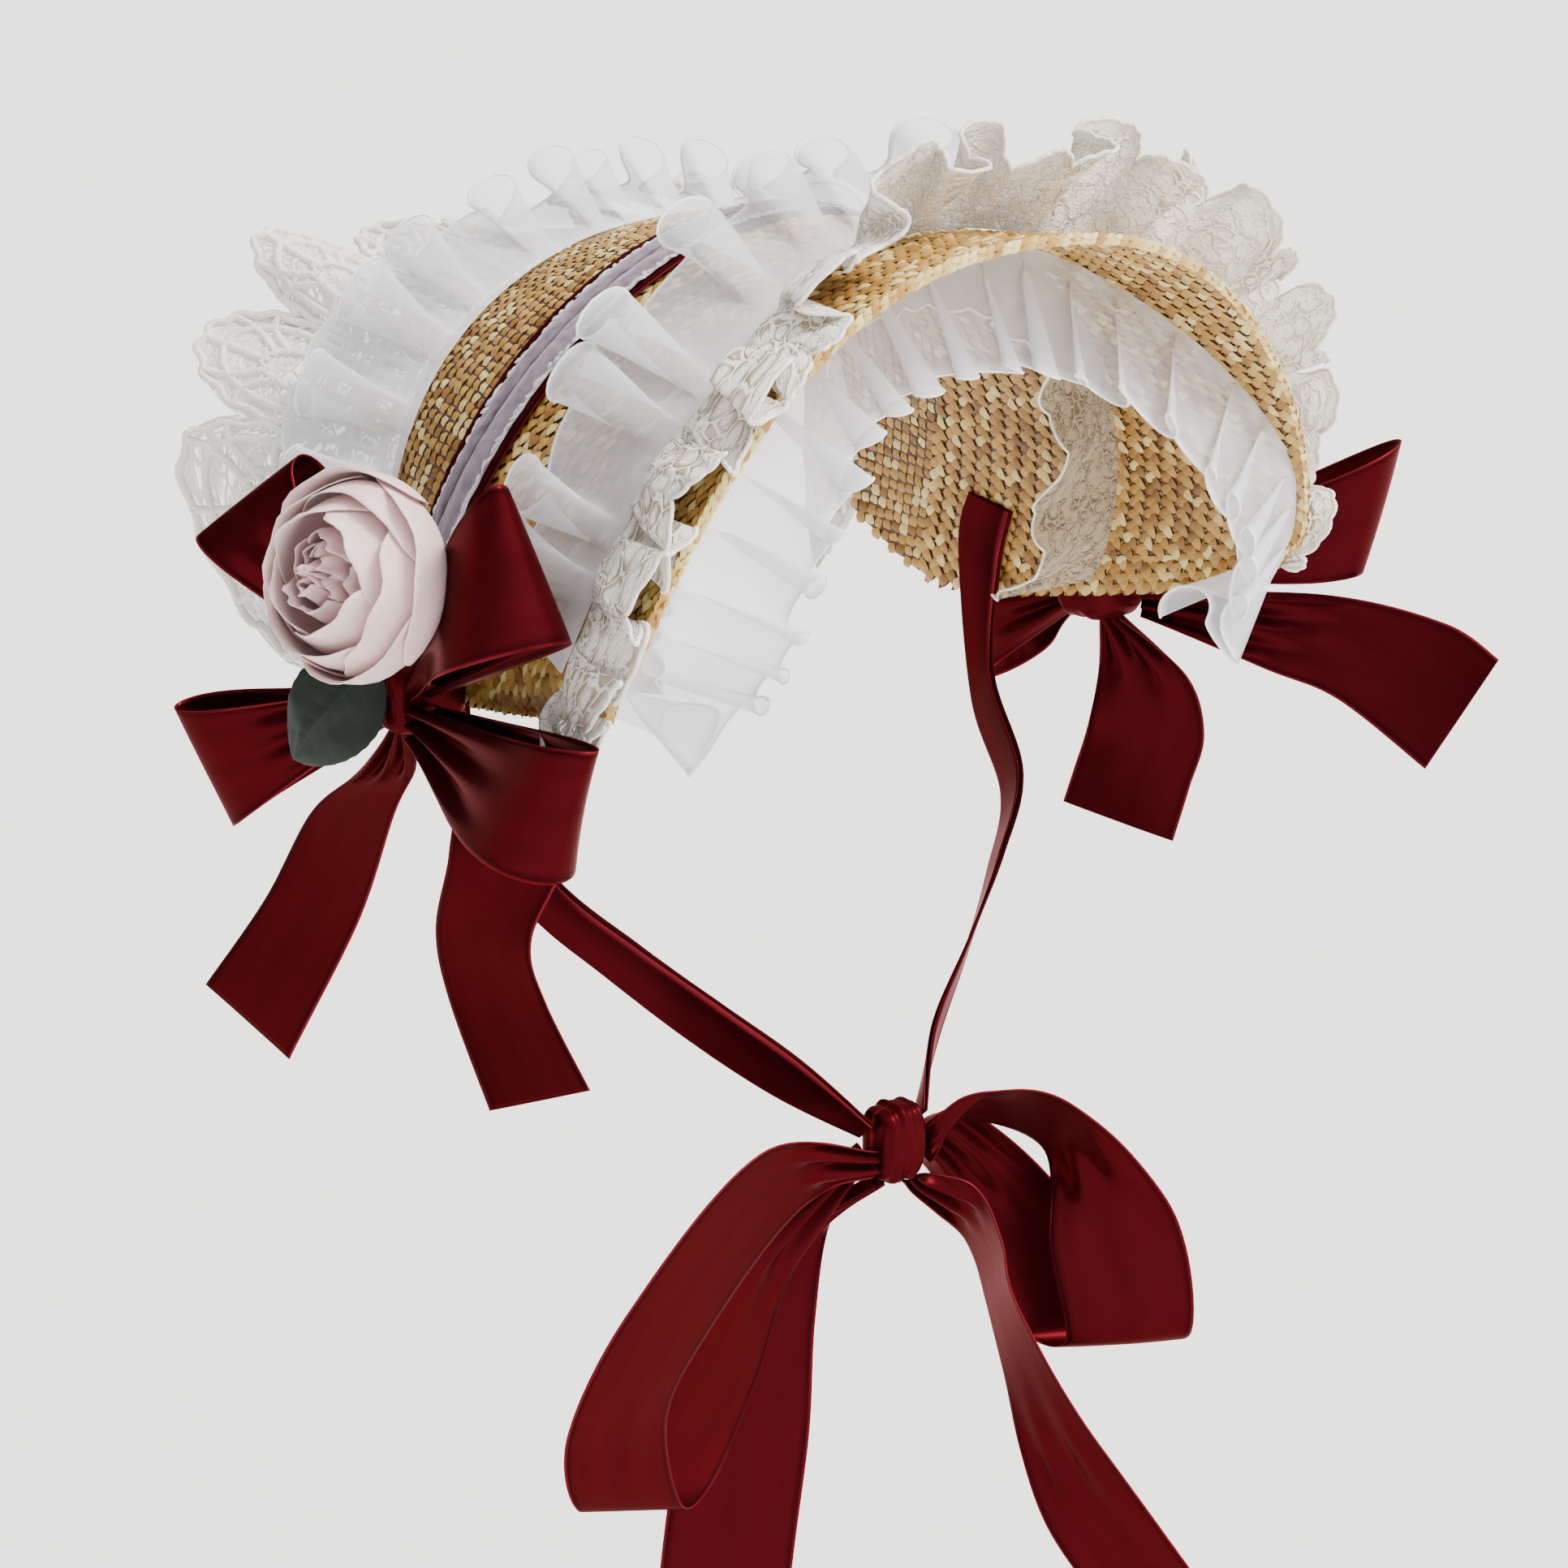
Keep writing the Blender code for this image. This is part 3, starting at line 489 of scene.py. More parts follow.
def sheer_organza(name, shade, thin, dense):
    """Nylon organza: sheer white cloth, so that each fold over another is paler, and a dense rolled hem.

    Its threads are too fine to show, so only its clouds of about 17 mm are drawn."""
    sheer = {"Base Color": colour(shade), "Roughness": 0.5, "Specular IOR Level": 0.3, "Sheen Weight": 0.25}
    made, tree, shader = new_material(name, sheer)
    hem = add(tree, "Attribute", {"attribute_name": "tone"})
    where = add(tree, "TexCoord")
    cloud = add(tree, "TexNoise", inputs={"Vector": where.outputs["Object"], "Scale": 60.0, "Detail": 2.0})
    thick = add(tree, "MapRange", inputs={"Value": hem.outputs["Fac"], "To Min": thin, "To Max": dense})
    drift = add(tree, "MapRange", inputs={"Value": cloud, "To Min": -0.08, "To Max": 0.08})
    total = {"operation": "ADD", "use_clamp": True}
    add(tree, "Math", total, {0: thick, 1: drift}, feeds=shader.inputs["Alpha"])
    return made


def cotton_lace(name, ground, motif, net):
    """Embroidered cotton lace: an ecru net ground with raised knobbly white motifs of about 4 mm."""
    matt = {"Roughness": 0.85, "Specular IOR Level": 0.2, "Sheen Weight": 0.3}
    made, tree, shader = new_material(name, matt)
    # motifs to a millimetre
    motifs = 0.24
    cut = add(tree, "UVMap", {"uv_map": "UVMap"})
    bend = add(tree, "TexNoise", inputs={"Vector": cut, "Scale": 0.22, "Detail": 2.0})
    bent = {0: bend.outputs["Color"], 1: (3.0, 3.0, 0.0), 2: cut}
    warp = add(tree, "VectorMath", {"operation": "MULTIPLY_ADD"}, bent)
    petals = add(
        tree, "TexVoronoi", {"feature": "SMOOTH_F1"}, {"Vector": warp, "Scale": motifs, "Smoothness": 0.2}
    )
    stems = add(tree, "TexVoronoi", {"feature": "DISTANCE_TO_EDGE"}, {"Vector": warp, "Scale": motifs})
    bloom = add(tree, "MapRange", inputs={"Value": petals, "From Min": 0.62, "From Max": 0.40})
    stem = add(tree, "MapRange", inputs={"Value": stems, "From Min": 0.12, "From Max": 0.05})
    tone = add(tree, "Attribute", {"attribute_name": "tone"})
    both = add(tree, "Math", {"operation": "MAXIMUM"}, {0: bloom, 1: stem})
    raised = add(tree, "Math", {"operation": "MAXIMUM"}, {0: both, 1: tone.outputs["Fac"]})
    knots = add(tree, "TexNoise", inputs={"Vector": cut, "Scale": 1.1, "Detail": 3.0})
    shades = ((0.0, ground), (1.0, motif))
    add(tree, "ValToRGB", inputs={"Fac": raised}, stops=shades, feeds=shader.inputs["Base Color"])
    holes = {"Value": raised, "To Min": net, "To Max": 1.0}
    add(tree, "MapRange", inputs=holes, feeds=shader.inputs["Alpha"])
    height = add(tree, "Math", {"operation": "MULTIPLY_ADD"}, {0: knots, 1: 0.9, 2: raised})
    relief = {"Strength": 0.9, "Distance": 1.6 * MM, "Height": height}
    add(tree, "Bump", inputs=relief, feeds=shader.inputs["Normal"])
    return made


def crochet_cotton():
    """Soft spun cotton cord, crocheted: matt cream with a knobbly surface of stitches about 1.6 mm apart."""
    matt = {"Roughness": 0.9, "Specular IOR Level": 0.15, "Sheen Weight": 0.4}
    made, tree, shader = new_material("crocheted cotton cord", matt)
    where = add(tree, "TexCoord")
    stitches = add(tree, "TexVoronoi", inputs={"Vector": where.outputs["Object"], "Scale": 620.0})
    cloud = add(tree, "TexNoise", inputs={"Vector": where.outputs["Object"], "Scale": 45.0})
    shades = ((0.3, "e6e0d6"), (0.7, "fbf8f3"))
    add(tree, "ValToRGB", inputs={"Fac": cloud}, stops=shades, feeds=shader.inputs["Base Color"])
    relief = {"Strength": 0.6, "Distance": 0.6 * MM, "Height": stitches}
    add(tree, "Bump", {"invert": True}, relief, feeds=shader.inputs["Normal"])
    return made


def hem_thread():
    """Bright white nylon thread, rolled in each sheer hem, with a twist about 1.1 mm long."""
    bright = {"Base Color": colour("f8f8fa"), "Roughness": 0.5, "Specular IOR Level": 0.4}
    made, tree, shader = new_material("white hem thread", bright)
    where = add(tree, "TexCoord")
    twist = add(tree, "TexNoise", inputs={"Vector": where.outputs["Object"], "Scale": 900.0})
    relief = {"Strength": 0.3, "Distance": 0.3 * MM, "Height": twist}
    add(tree, "Bump", inputs=relief, feeds=shader.inputs["Normal"])
    return made


def velvet_gimp():
    """Crinkled lavender grey ruche tape: matt, paler along its frayed edges, with painted shade down its
    stitched groove.

    Its fuzz is drawn about 2.4 mm wide, coarser than real, so that it shows."""
    matt = {"Roughness": 0.85, "Specular IOR Level": 0.2, "Sheen Weight": 0.5}
    made, tree, shader = new_material("lavender ruche tape", matt)
    # the darkest stop colours the middle of the tape: painted shade in its groove
    tint = toned(tree, ((0.0, "33242d"), (1.0, "dedbe2"), (0.45, "6f5f6d"), (0.72, "827485")))
    where = add(tree, "TexCoord")
    fuzz = add(tree, "TexNoise", inputs={"Vector": where.outputs["Object"], "Scale": 420.0, "Detail": 2.0})
    uneven(tree, shader, tint, fuzz, (0.82, 1.18), 0.4, 0.5 * MM)
    return made


def petal_cloth():
    """Starched pink voile petals: matt, paler at their rolled lips as painted light, and darker towards their
    feet and in the inner rings as painted shade.

    The weave itself is too fine to show; its slubs are drawn about 6 mm apart."""
    matt = {"Roughness": 0.75, "Specular IOR Level": 0.25, "Sheen Weight": 0.3}
    made, tree, shader = new_material("starched pink voile", matt)
    tint = toned(tree, ((0.0, "9a6f77"), (1.0, "f1d9d5"), (0.5, "d3aeb0")))
    where = add(tree, "TexCoord")
    slubs = add(tree, "TexNoise", inputs={"Vector": where.outputs["Object"], "Scale": 180.0, "Detail": 3.0})
    uneven(tree, shader, tint, slubs, (0.9, 1.1), 0.15, 1.0 * MM)
    return made


def leaf_cloth():
    """Stiffened dark green leaf cloth, dull, with a fine grain and paler pressed veins."""
    made, tree, shader = new_material("pressed leaf cloth", {"Roughness": 0.6, "Specular IOR Level": 0.2})
    tint = toned(tree, ((0.0, "101512"), (1.0, "3c463d"), (0.5, "1d2620")))
    tree.links.new(tint.outputs["Color"], shader.inputs["Base Color"])
    where = add(tree, "TexCoord")
    grain = add(tree, "TexNoise", inputs={"Vector": where.outputs["Object"], "Scale": 700.0})
    relief = {"Strength": 0.2, "Distance": 0.4 * MM, "Height": grain}
    add(tree, "Bump", inputs=relief, feeds=shader.inputs["Normal"])
    return made


STRAW = plaited_straw()
SATIN = satin_ribbon()
ORGANZA = sheer_organza("white nylon organza", "e3e4ea", 0.60, 0.97)
FINE_ORGANZA = sheer_organza("fine inner organza", "e2e3ea", 0.54, 0.97)
LACE = cotton_lace("cream embroidered lace", "c6b391", "fcf7ed", 0.74)
BEIGE_LACE = cotton_lace("beige floral lace", "7d694c", "bba684", 0.75)
NET = cotton_lace("white net ground", "e6e2da", "faf8f4", 0.24)
CROCHET = crochet_cotton()
HEM = hem_thread()
GIMP = velvet_gimp()
PETAL = petal_cloth()
LEAF = leaf_cloth()


# pieces


def keep(name, data, material, slot, nodes=(), wall=0.0):
    """Makes the mesh or curve a piece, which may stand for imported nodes; wall thickens a sheet."""
    data.name = name
    data.materials.append(material)
    made = bpy.data.objects.new(name, data)
    bpy.context.scene.collection.objects.link(made)
    if wall:
        thicken = made.modifiers.new("cloth wall", "SOLIDIFY")
        thicken.thickness = wall
        thicken.offset = 0
    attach(made, "root")
    if nodes:
        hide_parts(*nodes)
    return made


def to_data(mesh):
    data = bpy.data.meshes.new("piece")
    mesh.to_mesh(data)
    mesh.free()
    data.shade_smooth()
    return data


def new_mesh():
    """An empty mesh with its UV and tone layers."""
    mesh = bmesh.new()
    return mesh, (mesh.loops.layers.uv.new("UVMap"), mesh.verts.layers.float.new("tone"))


def take_in(mesh, part):
    """Adds a finished part to the whole mesh."""
    data = to_data(part)
    mesh.from_mesh(data)
    bpy.data.meshes.remove(data)


def bent_grid(across, along, bend, size=(1.0, 1.0), tone=None):
    """A grid of squares bent by a function of its two shares; UVs are in that size, and tone shades it."""
    mesh, (layer, shade) = new_mesh()
    bmesh.ops.create_grid(mesh, x_segments=across, y_segments=along, size=0.5)
    for face in mesh.faces:
        for loop in face.loops:
            loop[layer].uv = ((loop.vert.co.x + 0.5) * size[0], (loop.vert.co.y + 0.5) * size[1])
    for v in mesh.verts:
        u, w = v.co.x + 0.5, v.co.y + 0.5
        v[shade] = tone(u, w) if tone else 0.0
        v.co = bend(u, w)
    return mesh


def edge_cord(name, points, radius, material, slot, sides=2):
    """A thin round cord through the points, such as a rolled hem."""
    curve = bpy.data.curves.new(name, "CURVE")
    curve.dimensions = "3D"
    curve.bevel_depth = radius
    curve.bevel_resolution = sides
    curve.use_fill_caps = True
    for line in points:
        spline = curve.splines.new("POLY")
        spline.points.add(len(line) - 1)
        for target, point in zip(spline.points, line):
            target.co = (*point, 1)
    return keep(name, curve, material, slot)


# straw


def side_scale(turn, front):
    """Metres for one whole share on the crown's or the brim's side at that turn."""
    if front:
        return (shell(turn, 1) - shell(turn, BAND_SHARE)).length / (1 - BAND_SHARE)
    return (shell(turn, BAND_SHARE) - shell(turn, 0)).length / BAND_SHARE


def row_turns(share_of, pitch, shift, low, high):
    """Turns one pitch apart along a row, with each turn's share, where the row is between the two shares."""
    steps = 150
    turns = [-FOOT_TURN + 2 * FOOT_TURN * i / steps for i in range(steps + 1)]
    shares = [share_of(t) for t in turns]
    points = [shell(t, min(1.0, max(0.0, s))) for t, s in zip(turns, shares)]
    lengths = [0.0]
    for a, b in zip(points, points[1:]):
        lengths.append(lengths[-1] + (b - a).length)
    count = int(lengths[-1] / pitch)
    found = []
    for i in range(count):
        at = (i + 0.5 + shift) / count * lengths[-1]
        k = min(steps - 1, bisect.bisect_right(lengths, at) - 1)
        part = (at - lengths[k]) / max(1e-9, lengths[k + 1] - lengths[k])
        turn = turns[k] + (turns[k + 1] - turns[k]) * min(1, part)
        share = share_of(turn)
        if low <= share <= high:
            found.append((turn, share))
    return found


def gap_shade_wall(mesh, low, high, shades):
    """A dark closed wall in the middle of the straw, which shows in the gaps of the plait as painted shade.
    """
    loops = []
    for out in CORE_FACES:

        def sheet(u, w):
            return off_shell(-CORE_TURN + 2 * CORE_TURN * u, low + (high - low) * w, out)

        before = len(mesh.faces)
        take_in(mesh, bent_grid(110, 10, sheet))
        mesh.faces.ensure_lookup_table()
        loops += [e for f in mesh.faces[before:] for e in f.edges if e.is_boundary]
    bmesh.ops.bridge_loops(mesh, edges=list(set(loops)))
    # tone 0.16 gives the wall a dark brown: painted shade in the gaps
    for v in mesh.verts:
        v[shades] = 0.16


def strip_patch(mesh, layers, at, size, tone, rise, dip, rows=(2, 2), point=1.0):
    """One straw strip on the plait: a small grid that swells in the middle and narrows to its ends."""
    uv, shades = layers
    centre, long_way, wide_way, out = at
    half_long, half_wide = size[0] / 2, size[1] / 2
    made = bmesh.ops.create_grid(mesh, x_segments=rows[0], y_segments=rows[1], size=1.0)["verts"]
    shift = tone * 613
    for v in made:
        x, y = v.co.x, v.co.y
        for loop in v.link_loops:
            loop[uv].uv = (x * half_long * 1000 + shift, y * half_wide * 1000 + shift)
        narrow = 1 - point * abs(x) ** 2.2
        crown = (1 - x * x) * (1 - 0.75 * y * y) * rise - (abs(x) + x * 0.6) * dip
        v.co = centre + long_way * x * half_long + wide_way * y * half_wide * narrow + out * crown
        v[shades] = tone


def straw_tone(rng, bright):
    """Most strips are golden, some pale and a few brown."""
    pick = rng.random()
    if pick < 0.20:
        return min(1, bright + 0.25 + 0.15 * rng.random())
    if pick < 0.34:
        return bright - 0.28 + 0.1 * rng.random()
    return bright - 0.12 + 0.24 * rng.random()


def straw_mesh(low, high):
    mesh, layers = new_mesh()
    gap_shade_wall(mesh, low, high, layers[1])
    return mesh


def make_crown(rng):
    """Rows of short woven cells on both faces, from the band to the back edge."""
    mesh = straw_mesh(0.006, BAND_SHARE + 0.002)
    for face, depth in ((1, -0.75 * MM), (-1, -1.75 * MM)):
        for n in range(CROWN_ROWS):
            away = (n + 0.4) * CELL
            row, layers = new_mesh()
            places = row_turns(
                lambda turn: BAND_SHARE - away / side_scale(turn, False),
                CELL,
                0.5 * (n % 2),
                0.004,
                BAND_SHARE,
            )
            for turn, share in places:
                point, along, forward, out = frame(turn, share)
                spin = Matrix.Rotation(math.radians(rng.uniform(-CELL_JITTER, CELL_JITTER)), 3, out)
                size = (CELL * rng.uniform(0.82, 1.08), CELL * rng.uniform(0.76, 0.98))
                lean = out * rng.uniform(-0.12, 0.12)
                at = (point + out * depth, (spin @ along + lean).normalized(), spin @ forward, out * face)
                rise = CELL_RISE * rng.uniform(0.8, 1.2)
                strip_patch(row, layers, at, size, straw_tone(rng, 0.66), rise, 0.18 * MM, point=0.25)
            take_in(mesh, row)
    keep("straw_crown", to_data(mesh), STRAW, "straw", ("crown",))


def make_brim(rng):
    """Rows of strands in pairs that slant against each other, as a plait, and strands bound round the rim."""
    mesh = straw_mesh(BAND_SHARE + 0.004, 0.992)
    for face, depth in ((1, -0.55 * MM), (-1, -1.95 * MM)):
        for n in range(BRIM_ROWS):
            half = 2 * (n % 2) - 1
            away = (n // 2 + 0.5 + 0.20 * half) * PLAIT
            row, layers = new_mesh()
            places = row_turns(
                lambda turn: 1 - away / side_scale(turn, True),
                STRAND_PITCH,
                0.25 + 0.25 * half,
                BAND_SHARE + 0.002,
                0.9995,
            )
            for turn, share in places:
                point, along, forward, out = frame(turn, share)
                slant = math.radians(half * STRAND_SLANT + rng.uniform(-7, 7))
                spin = Matrix.Rotation(slant, 3, out)
                size = (STRAND_LENGTH * rng.uniform(0.9, 1.1), STRAND_WIDTH * rng.uniform(0.9, 1.15))
                at = (point + out * depth, spin @ along, spin @ forward, out * face)
                tone = straw_tone(rng, 0.74 - 0.10 * smooth(0, 8, n))
                strip_patch(row, layers, at, size, tone, 1.05 * MM, 0.75 * MM, (4, 2), 0.85)
            take_in(mesh, row)
    row, layers = new_mesh()
    for turn, share in row_turns(lambda turn: 0.996, RIM_PITCH, 0, 0, 1):
        point, along, forward, out = frame(turn, share)
        spin = Matrix.Rotation(math.radians(24 + rng.uniform(-8, 8)), 3, forward)
        at = (point - out * 1.25 * MM + forward * 0.3 * MM, spin @ along, spin @ out, forward)
        strip_patch(row, layers, at, RIM_STRAND, straw_tone(rng, 0.86), 0.9 * MM, 0.2 * MM, (4, 2), 0.6)
    take_in(mesh, row)
    keep("straw_brim", to_data(mesh), STRAW, "straw", ("brim",))


# band


def make_band():
    """The satin ribbon over the seam of crown and brim, the ruche tape on it, and the tape's frayed edges."""
    half = BAND_WIDTH / share_length() / 2

    def ribbon(u, w):
        turn, side = -BAND_REACH + 2 * BAND_REACH * w, 2 * u - 1
        lift = LAY_GAP + 0.5 * MM + 0.25 * MM * ripple(0.02, turn * 0.3, side * 0.02)
        lift += 0.4 * MM * abs(side) ** 6
        return off_shell(turn, BAND_SHARE + side * half, lift)

    mesh = bent_grid(10, 220, ribbon, (1.0, BAND_LENGTH / MM))
    made = keep("band_of_satin", to_data(mesh), SATIN, "satin", ("band_ribbon",), SATIN_WALL)
    trim_half = TRIM_WIDTH / share_length() / 2

    def profile(side):
        return abs(math.sin(math.pi * side)) ** 0.6 * 0.7 + 0.3 * (1 - side * side)

    def trim(u, w):
        turn, side = -BAND_REACH + 2 * BAND_REACH * w, 2 * u - 1
        crinkle = ripple(0.006, turn * 0.21, side * 0.012) + 0.5 * ripple(0.0025, turn * 0.21, side * 0.01)
        wide = 1 + 0.07 * ripple(0.005, turn * 0.21, math.copysign(1, side)) * abs(side)
        lift = 1.7 * MM + (1.35 + 0.45 * crinkle) * MM * profile(side)
        return off_shell(turn, BAND_SHARE + side * wide * trim_half, lift)

    def trim_tone_and_groove_shade(u, w):
        side = 2 * u - 1
        crinkle = ripple(0.004, w * 0.4, side * 0.01)
        # near the middle the tone falls to the darkest stop: painted shade in the stitched groove
        return 0.52 * smooth(0.0, 0.12, abs(side)) + 0.45 * smooth(0.80, 0.99, abs(side)) + 0.30 * crinkle

    mesh = bent_grid(26, 620, trim, (1.0, BAND_LENGTH / MM), trim_tone_and_groove_shade)
    made = keep("band_of_ruche", to_data(mesh), GIMP, "gimp", ("band_trim",), 0.4 * MM)
    rng = random.Random(3)
    row, layers = new_mesh()
    for edge in (-1, 1):
        for i in range(FRAYS):
            turn = -FRAY_REACH + 2 * FRAY_REACH * (i + rng.random()) / FRAYS
            share = BAND_SHARE + edge * trim_half * rng.uniform(0.84, 1.0)
            point, along, forward, out = frame(turn, share)
            spin = Matrix.Rotation(rng.uniform(-0.7, 0.7), 3, out)
            at = (point + out * 2.3 * MM, spin @ along, spin @ forward, out)
            size = (rng.uniform(2.5, 6.5) * MM, rng.uniform(1.0, 2.2) * MM)
            tone, rise = rng.uniform(0.9, 1.0), rng.uniform(0.5, 1.1) * MM
            strip_patch(row, layers, at, size, tone, rise, 0.2 * MM, (3, 2), 0.7)
    fray = keep("band_fray", to_data(row), GIMP, "gimp")


# frills


def on_line(turn, share, moves):
    """A point moved along the arch, forward and outward from where the frill is sewn on."""
    point, along, forward, out = frame(turn, share)
    a, f, o = moves
    return point + along * a + forward * f + out * o


def brim_frill_share(turn):
    return BRIM_FRILL_TOP + (BRIM_FRILL_SIDE - BRIM_FRILL_TOP) * smooth(0, 0.45, abs(turn))


def inner_share(turn):
    return INNER_TOP + (INNER_SIDE - INNER_TOP) * smooth(0.15, 0.68, abs(turn))


def hem_tone(u, w):
    """Dense at the rolled hem and where it is gathered."""
    return max(smooth(0.955, 0.985, w), 0.55 * (1 - smooth(0.0, 0.22, w)))


def edge_tone(most, low, high):
    """A tone that rises to that value between two shares of the way to the hem."""
    return lambda u, w: most * smooth(low, high, w)


def cut_of(row, share_of):
    """The flat strip that a frill is cut from: its width, and the length of its seam times its fullness."""
    turns = [-row["reach"] + 2 * row["reach"] * i / 200 for i in range(201)]
    seam = [shell(turn, share_of(turn)) for turn in turns]
    return row["wide"], row["fullness"] * sum((b - a).length for a, b in zip(seam, seam[1:]))


def frill(node, bend, share_of, material, tone=hem_tone):
    """A gathered, hemmed strip; bend gives a point from the turn and from the shares along and out."""
    row = FRILL_ROWS[node]
    reach, across = row["reach"], row["across"]
    flat = cut_of(row, share_of)

    def bent(u, w):
        return bend(-reach + 2 * reach * u, u, w)

    mesh = bent_grid(across, row["out"], bent, (flat[1] / MM, flat[0] / MM), tone)
    made = keep(row["name"], to_data(mesh), material, row["slot"], (node,))
    line = [bent(i / across, 1.0) for i in range(across + 1)]
    thread = HEM if row["slot"] == "organza" else CROCHET
    hem = edge_cord(row["name"] + "_hem", [line], row["hem"], thread, row["slot"])


def brim_organza(turn, u, v):
    """Stands up and leans back from its seam in soft waves, lower and calmer towards the feet."""
    side = abs(turn)
    low = smooth(0.50, 0.72, side)
    height = BRIM_ORGANZA_LENGTH * (0.88 + 0.12 * smooth(0, 0.4, side) - 0.2 * low)
    height *= 1 - 0.62 * smooth(0.70, 0.88, side)
    height *= 1 + 0.16 * ripple(0.05, turn, 3.1)
    lean = math.radians(42 + 20 * low + 9 * ripple(0.08, turn, 6.1))
    phase = math.tau * (BRIM_WAVES * u + 0.45 * ripple(0.11, turn, 7.7))
    calm = 1 - 0.8 * smooth(0.70, 0.82, side)
    varied = 1 + 0.4 * ripple(0.07, turn, 1.7)
    wave = (0.34 - 0.10 * low) * height * v**1.3 * math.sin(phase) * calm * varied
    reach = height * v * (1 - 0.07 * v * (1 + math.cos(2 * phase)))
    curl = 0.16 * height * v**5 * (0.4 + math.sin(phase)) * calm
    back = reach * math.sin(lean) - wave * math.cos(lean) + curl
    up = LAY_GAP + reach * math.cos(lean) + wave * math.sin(lean) - 0.5 * abs(curl)
    along = -0.17 * height * v * math.sin(2 * phase) * calm
    return on_line(turn, brim_frill_share(turn), (along, -SEWN_APART / 2 - back, max(LAY_GAP, up)))


def brim_lace(turn, u, v):
    """Falls forward over the straw on the wearer's right and stands up on the left, in bunched waves."""
    foot = smooth(0.74, 0.9, abs(turn))
    right = smooth(0.0, -0.4, turn)
    flat = smooth(-0.62, -0.76, turn)
    height = BRIM_LACE_LENGTH * (1 + 0.25 * smooth(-0.1, 0.5, turn) * (1 - foot) - 0.42 * foot)
    height *= 1 + 0.12 * ripple(0.06, turn, 9.2) + (0.22 + 0.40 * foot) * right
    lobe = abs(math.sin(math.pi * SCALLOPS * 1.5 * u))
    picot = abs(math.sin(math.pi * SCALLOPS * 7.5 * u))
    reach = height * v * (1 - v**3 * (0.20 - 0.20 * lobe**0.7 - 0.03 * picot))
    lean = math.radians(76 + 12 * right - 48 * smooth(-0.35, 0.35, turn) + 40 * smooth(0.68, 0.88, turn))
    phase = math.tau * (LACE_WAVES * u + 0.5 * ripple(0.1, turn, 1.3))
    swing = (0.30 - 0.16 * right - 0.03 * flat) * (1 + 0.4 * ripple(0.05, turn, 4.8))
    bunch = ripple(0.010, u * 0.55, v * 0.033) + 0.5 * ripple(0.004, u * 0.55, v * 0.02, 3.1)
    wave = swing * height * v**1.1 * math.sin(phase) + (1.2 + 1.6 * right) * MM * min(1, 2 * v) * bunch
    front = reach * math.sin(lean) - wave * math.cos(lean)
    arch = 0.24 * right * height * math.sin(math.pi * v**0.8)
    up = reach * math.cos(lean) + arch + (wave + (0.30 - 0.27 * right) * height * v) * math.sin(lean)
    along = -(0.17 + 0.05 * right) * height * v * math.sin(2 * phase)
    lift = max(LAY_GAP, LAY_GAP + up * (1 - 0.35 * flat))
    return on_line(turn, brim_frill_share(turn), (along, SEWN_APART / 2 + front, lift))


def inner_ruffle(turn, u, v):
    """Hangs inside the brim in pleats that open towards the hem and fan out at the feet."""
    side = abs(turn)
    foot = smooth(0.78, 1.0, side)
    length = INNER_LENGTH * (1 + 0.25 * foot) * (1 + 0.10 * ripple(0.09, turn, 5.5))
    lean = math.radians(25 - 20 * smooth(0.3, 0.7, side))
    phase = math.tau * (INNER_PLEATS * u + 0.35 * ripple(0.11, turn, 2.2))
    open_out = smooth(0.0, 0.30, v) * (0.55 + 0.45 * v)
    fold = 4.4 * MM * (0.3 + 0.7 * v) * v**0.4 * math.cos(phase)
    slide = -8.0 * MM * open_out * math.sin(phase) * (1 - 0.35 * smooth(0.45, 0.7, -turn)) * (1 - 0.8 * foot)
    tip = 0.03 * length * v**3 * math.cos(phase + 0.9)
    down = (length * v + tip) * math.cos(lean) * (1 - foot * (0.72 if turn < 0 else 0.10))
    spread = 0.012 * v * foot * math.copysign(1, turn) + slide
    forward = length * v * math.sin(lean) + fold
    return on_line(turn, inner_share(turn), (spread, forward, INSIDE - max(0, down)))


def inner_lace(turn, u, v):
    """Hangs nearly straight behind the ruffle, longer towards the feet."""
    length = INNER_LACE_LENGTH * (0.62 + 0.75 * smooth(0.35, 0.95, abs(turn)))
    wave = 0.005 * v * math.sin(math.tau * 9 * u)
    lobe = 1 - 0.08 * v**3 * (1 - abs(math.sin(math.pi * 30 * u)))
    return on_line(turn, INNER_LACE_SHARE, (0, -0.10 * length * v + wave, INSIDE - length * v * 0.96 * lobe))


def back_organza(turn, u, v):
    """Fans up and back from the crown's back edge."""
    side = smooth(0.15, 0.7, abs(turn))
    length = BACK_ORGANZA_LENGTH * (0.86 + 0.18 * side - 0.35 * smooth(0.80, 0.97, abs(turn)))
    length *= 1 + 0.14 * ripple(0.06, turn, 8.1)
    tilt = math.radians(44 + 18 * side + 8 * ripple(0.09, turn, 2.9))
    phase = math.tau * (BACK_WAVES * u + 0.4 * ripple(0.12, turn, 4.4))
    wave = 0.30 * length * v**1.3 * math.sin(phase) * (1 + 0.4 * ripple(0.08, turn, 5.9))
    reach = length * v * (1 - 0.08 * v * (1 + math.cos(2 * phase)))
    back = reach * math.cos(tilt) - wave * math.sin(tilt)
    up = LAY_GAP + reach * math.sin(tilt) + wave * math.cos(tilt)
    along = -0.20 * length * v * math.sin(2 * phase)
    return on_line(turn, BACK_ORGANZA_SHARE, (along, -back, max(LAY_GAP, up)))


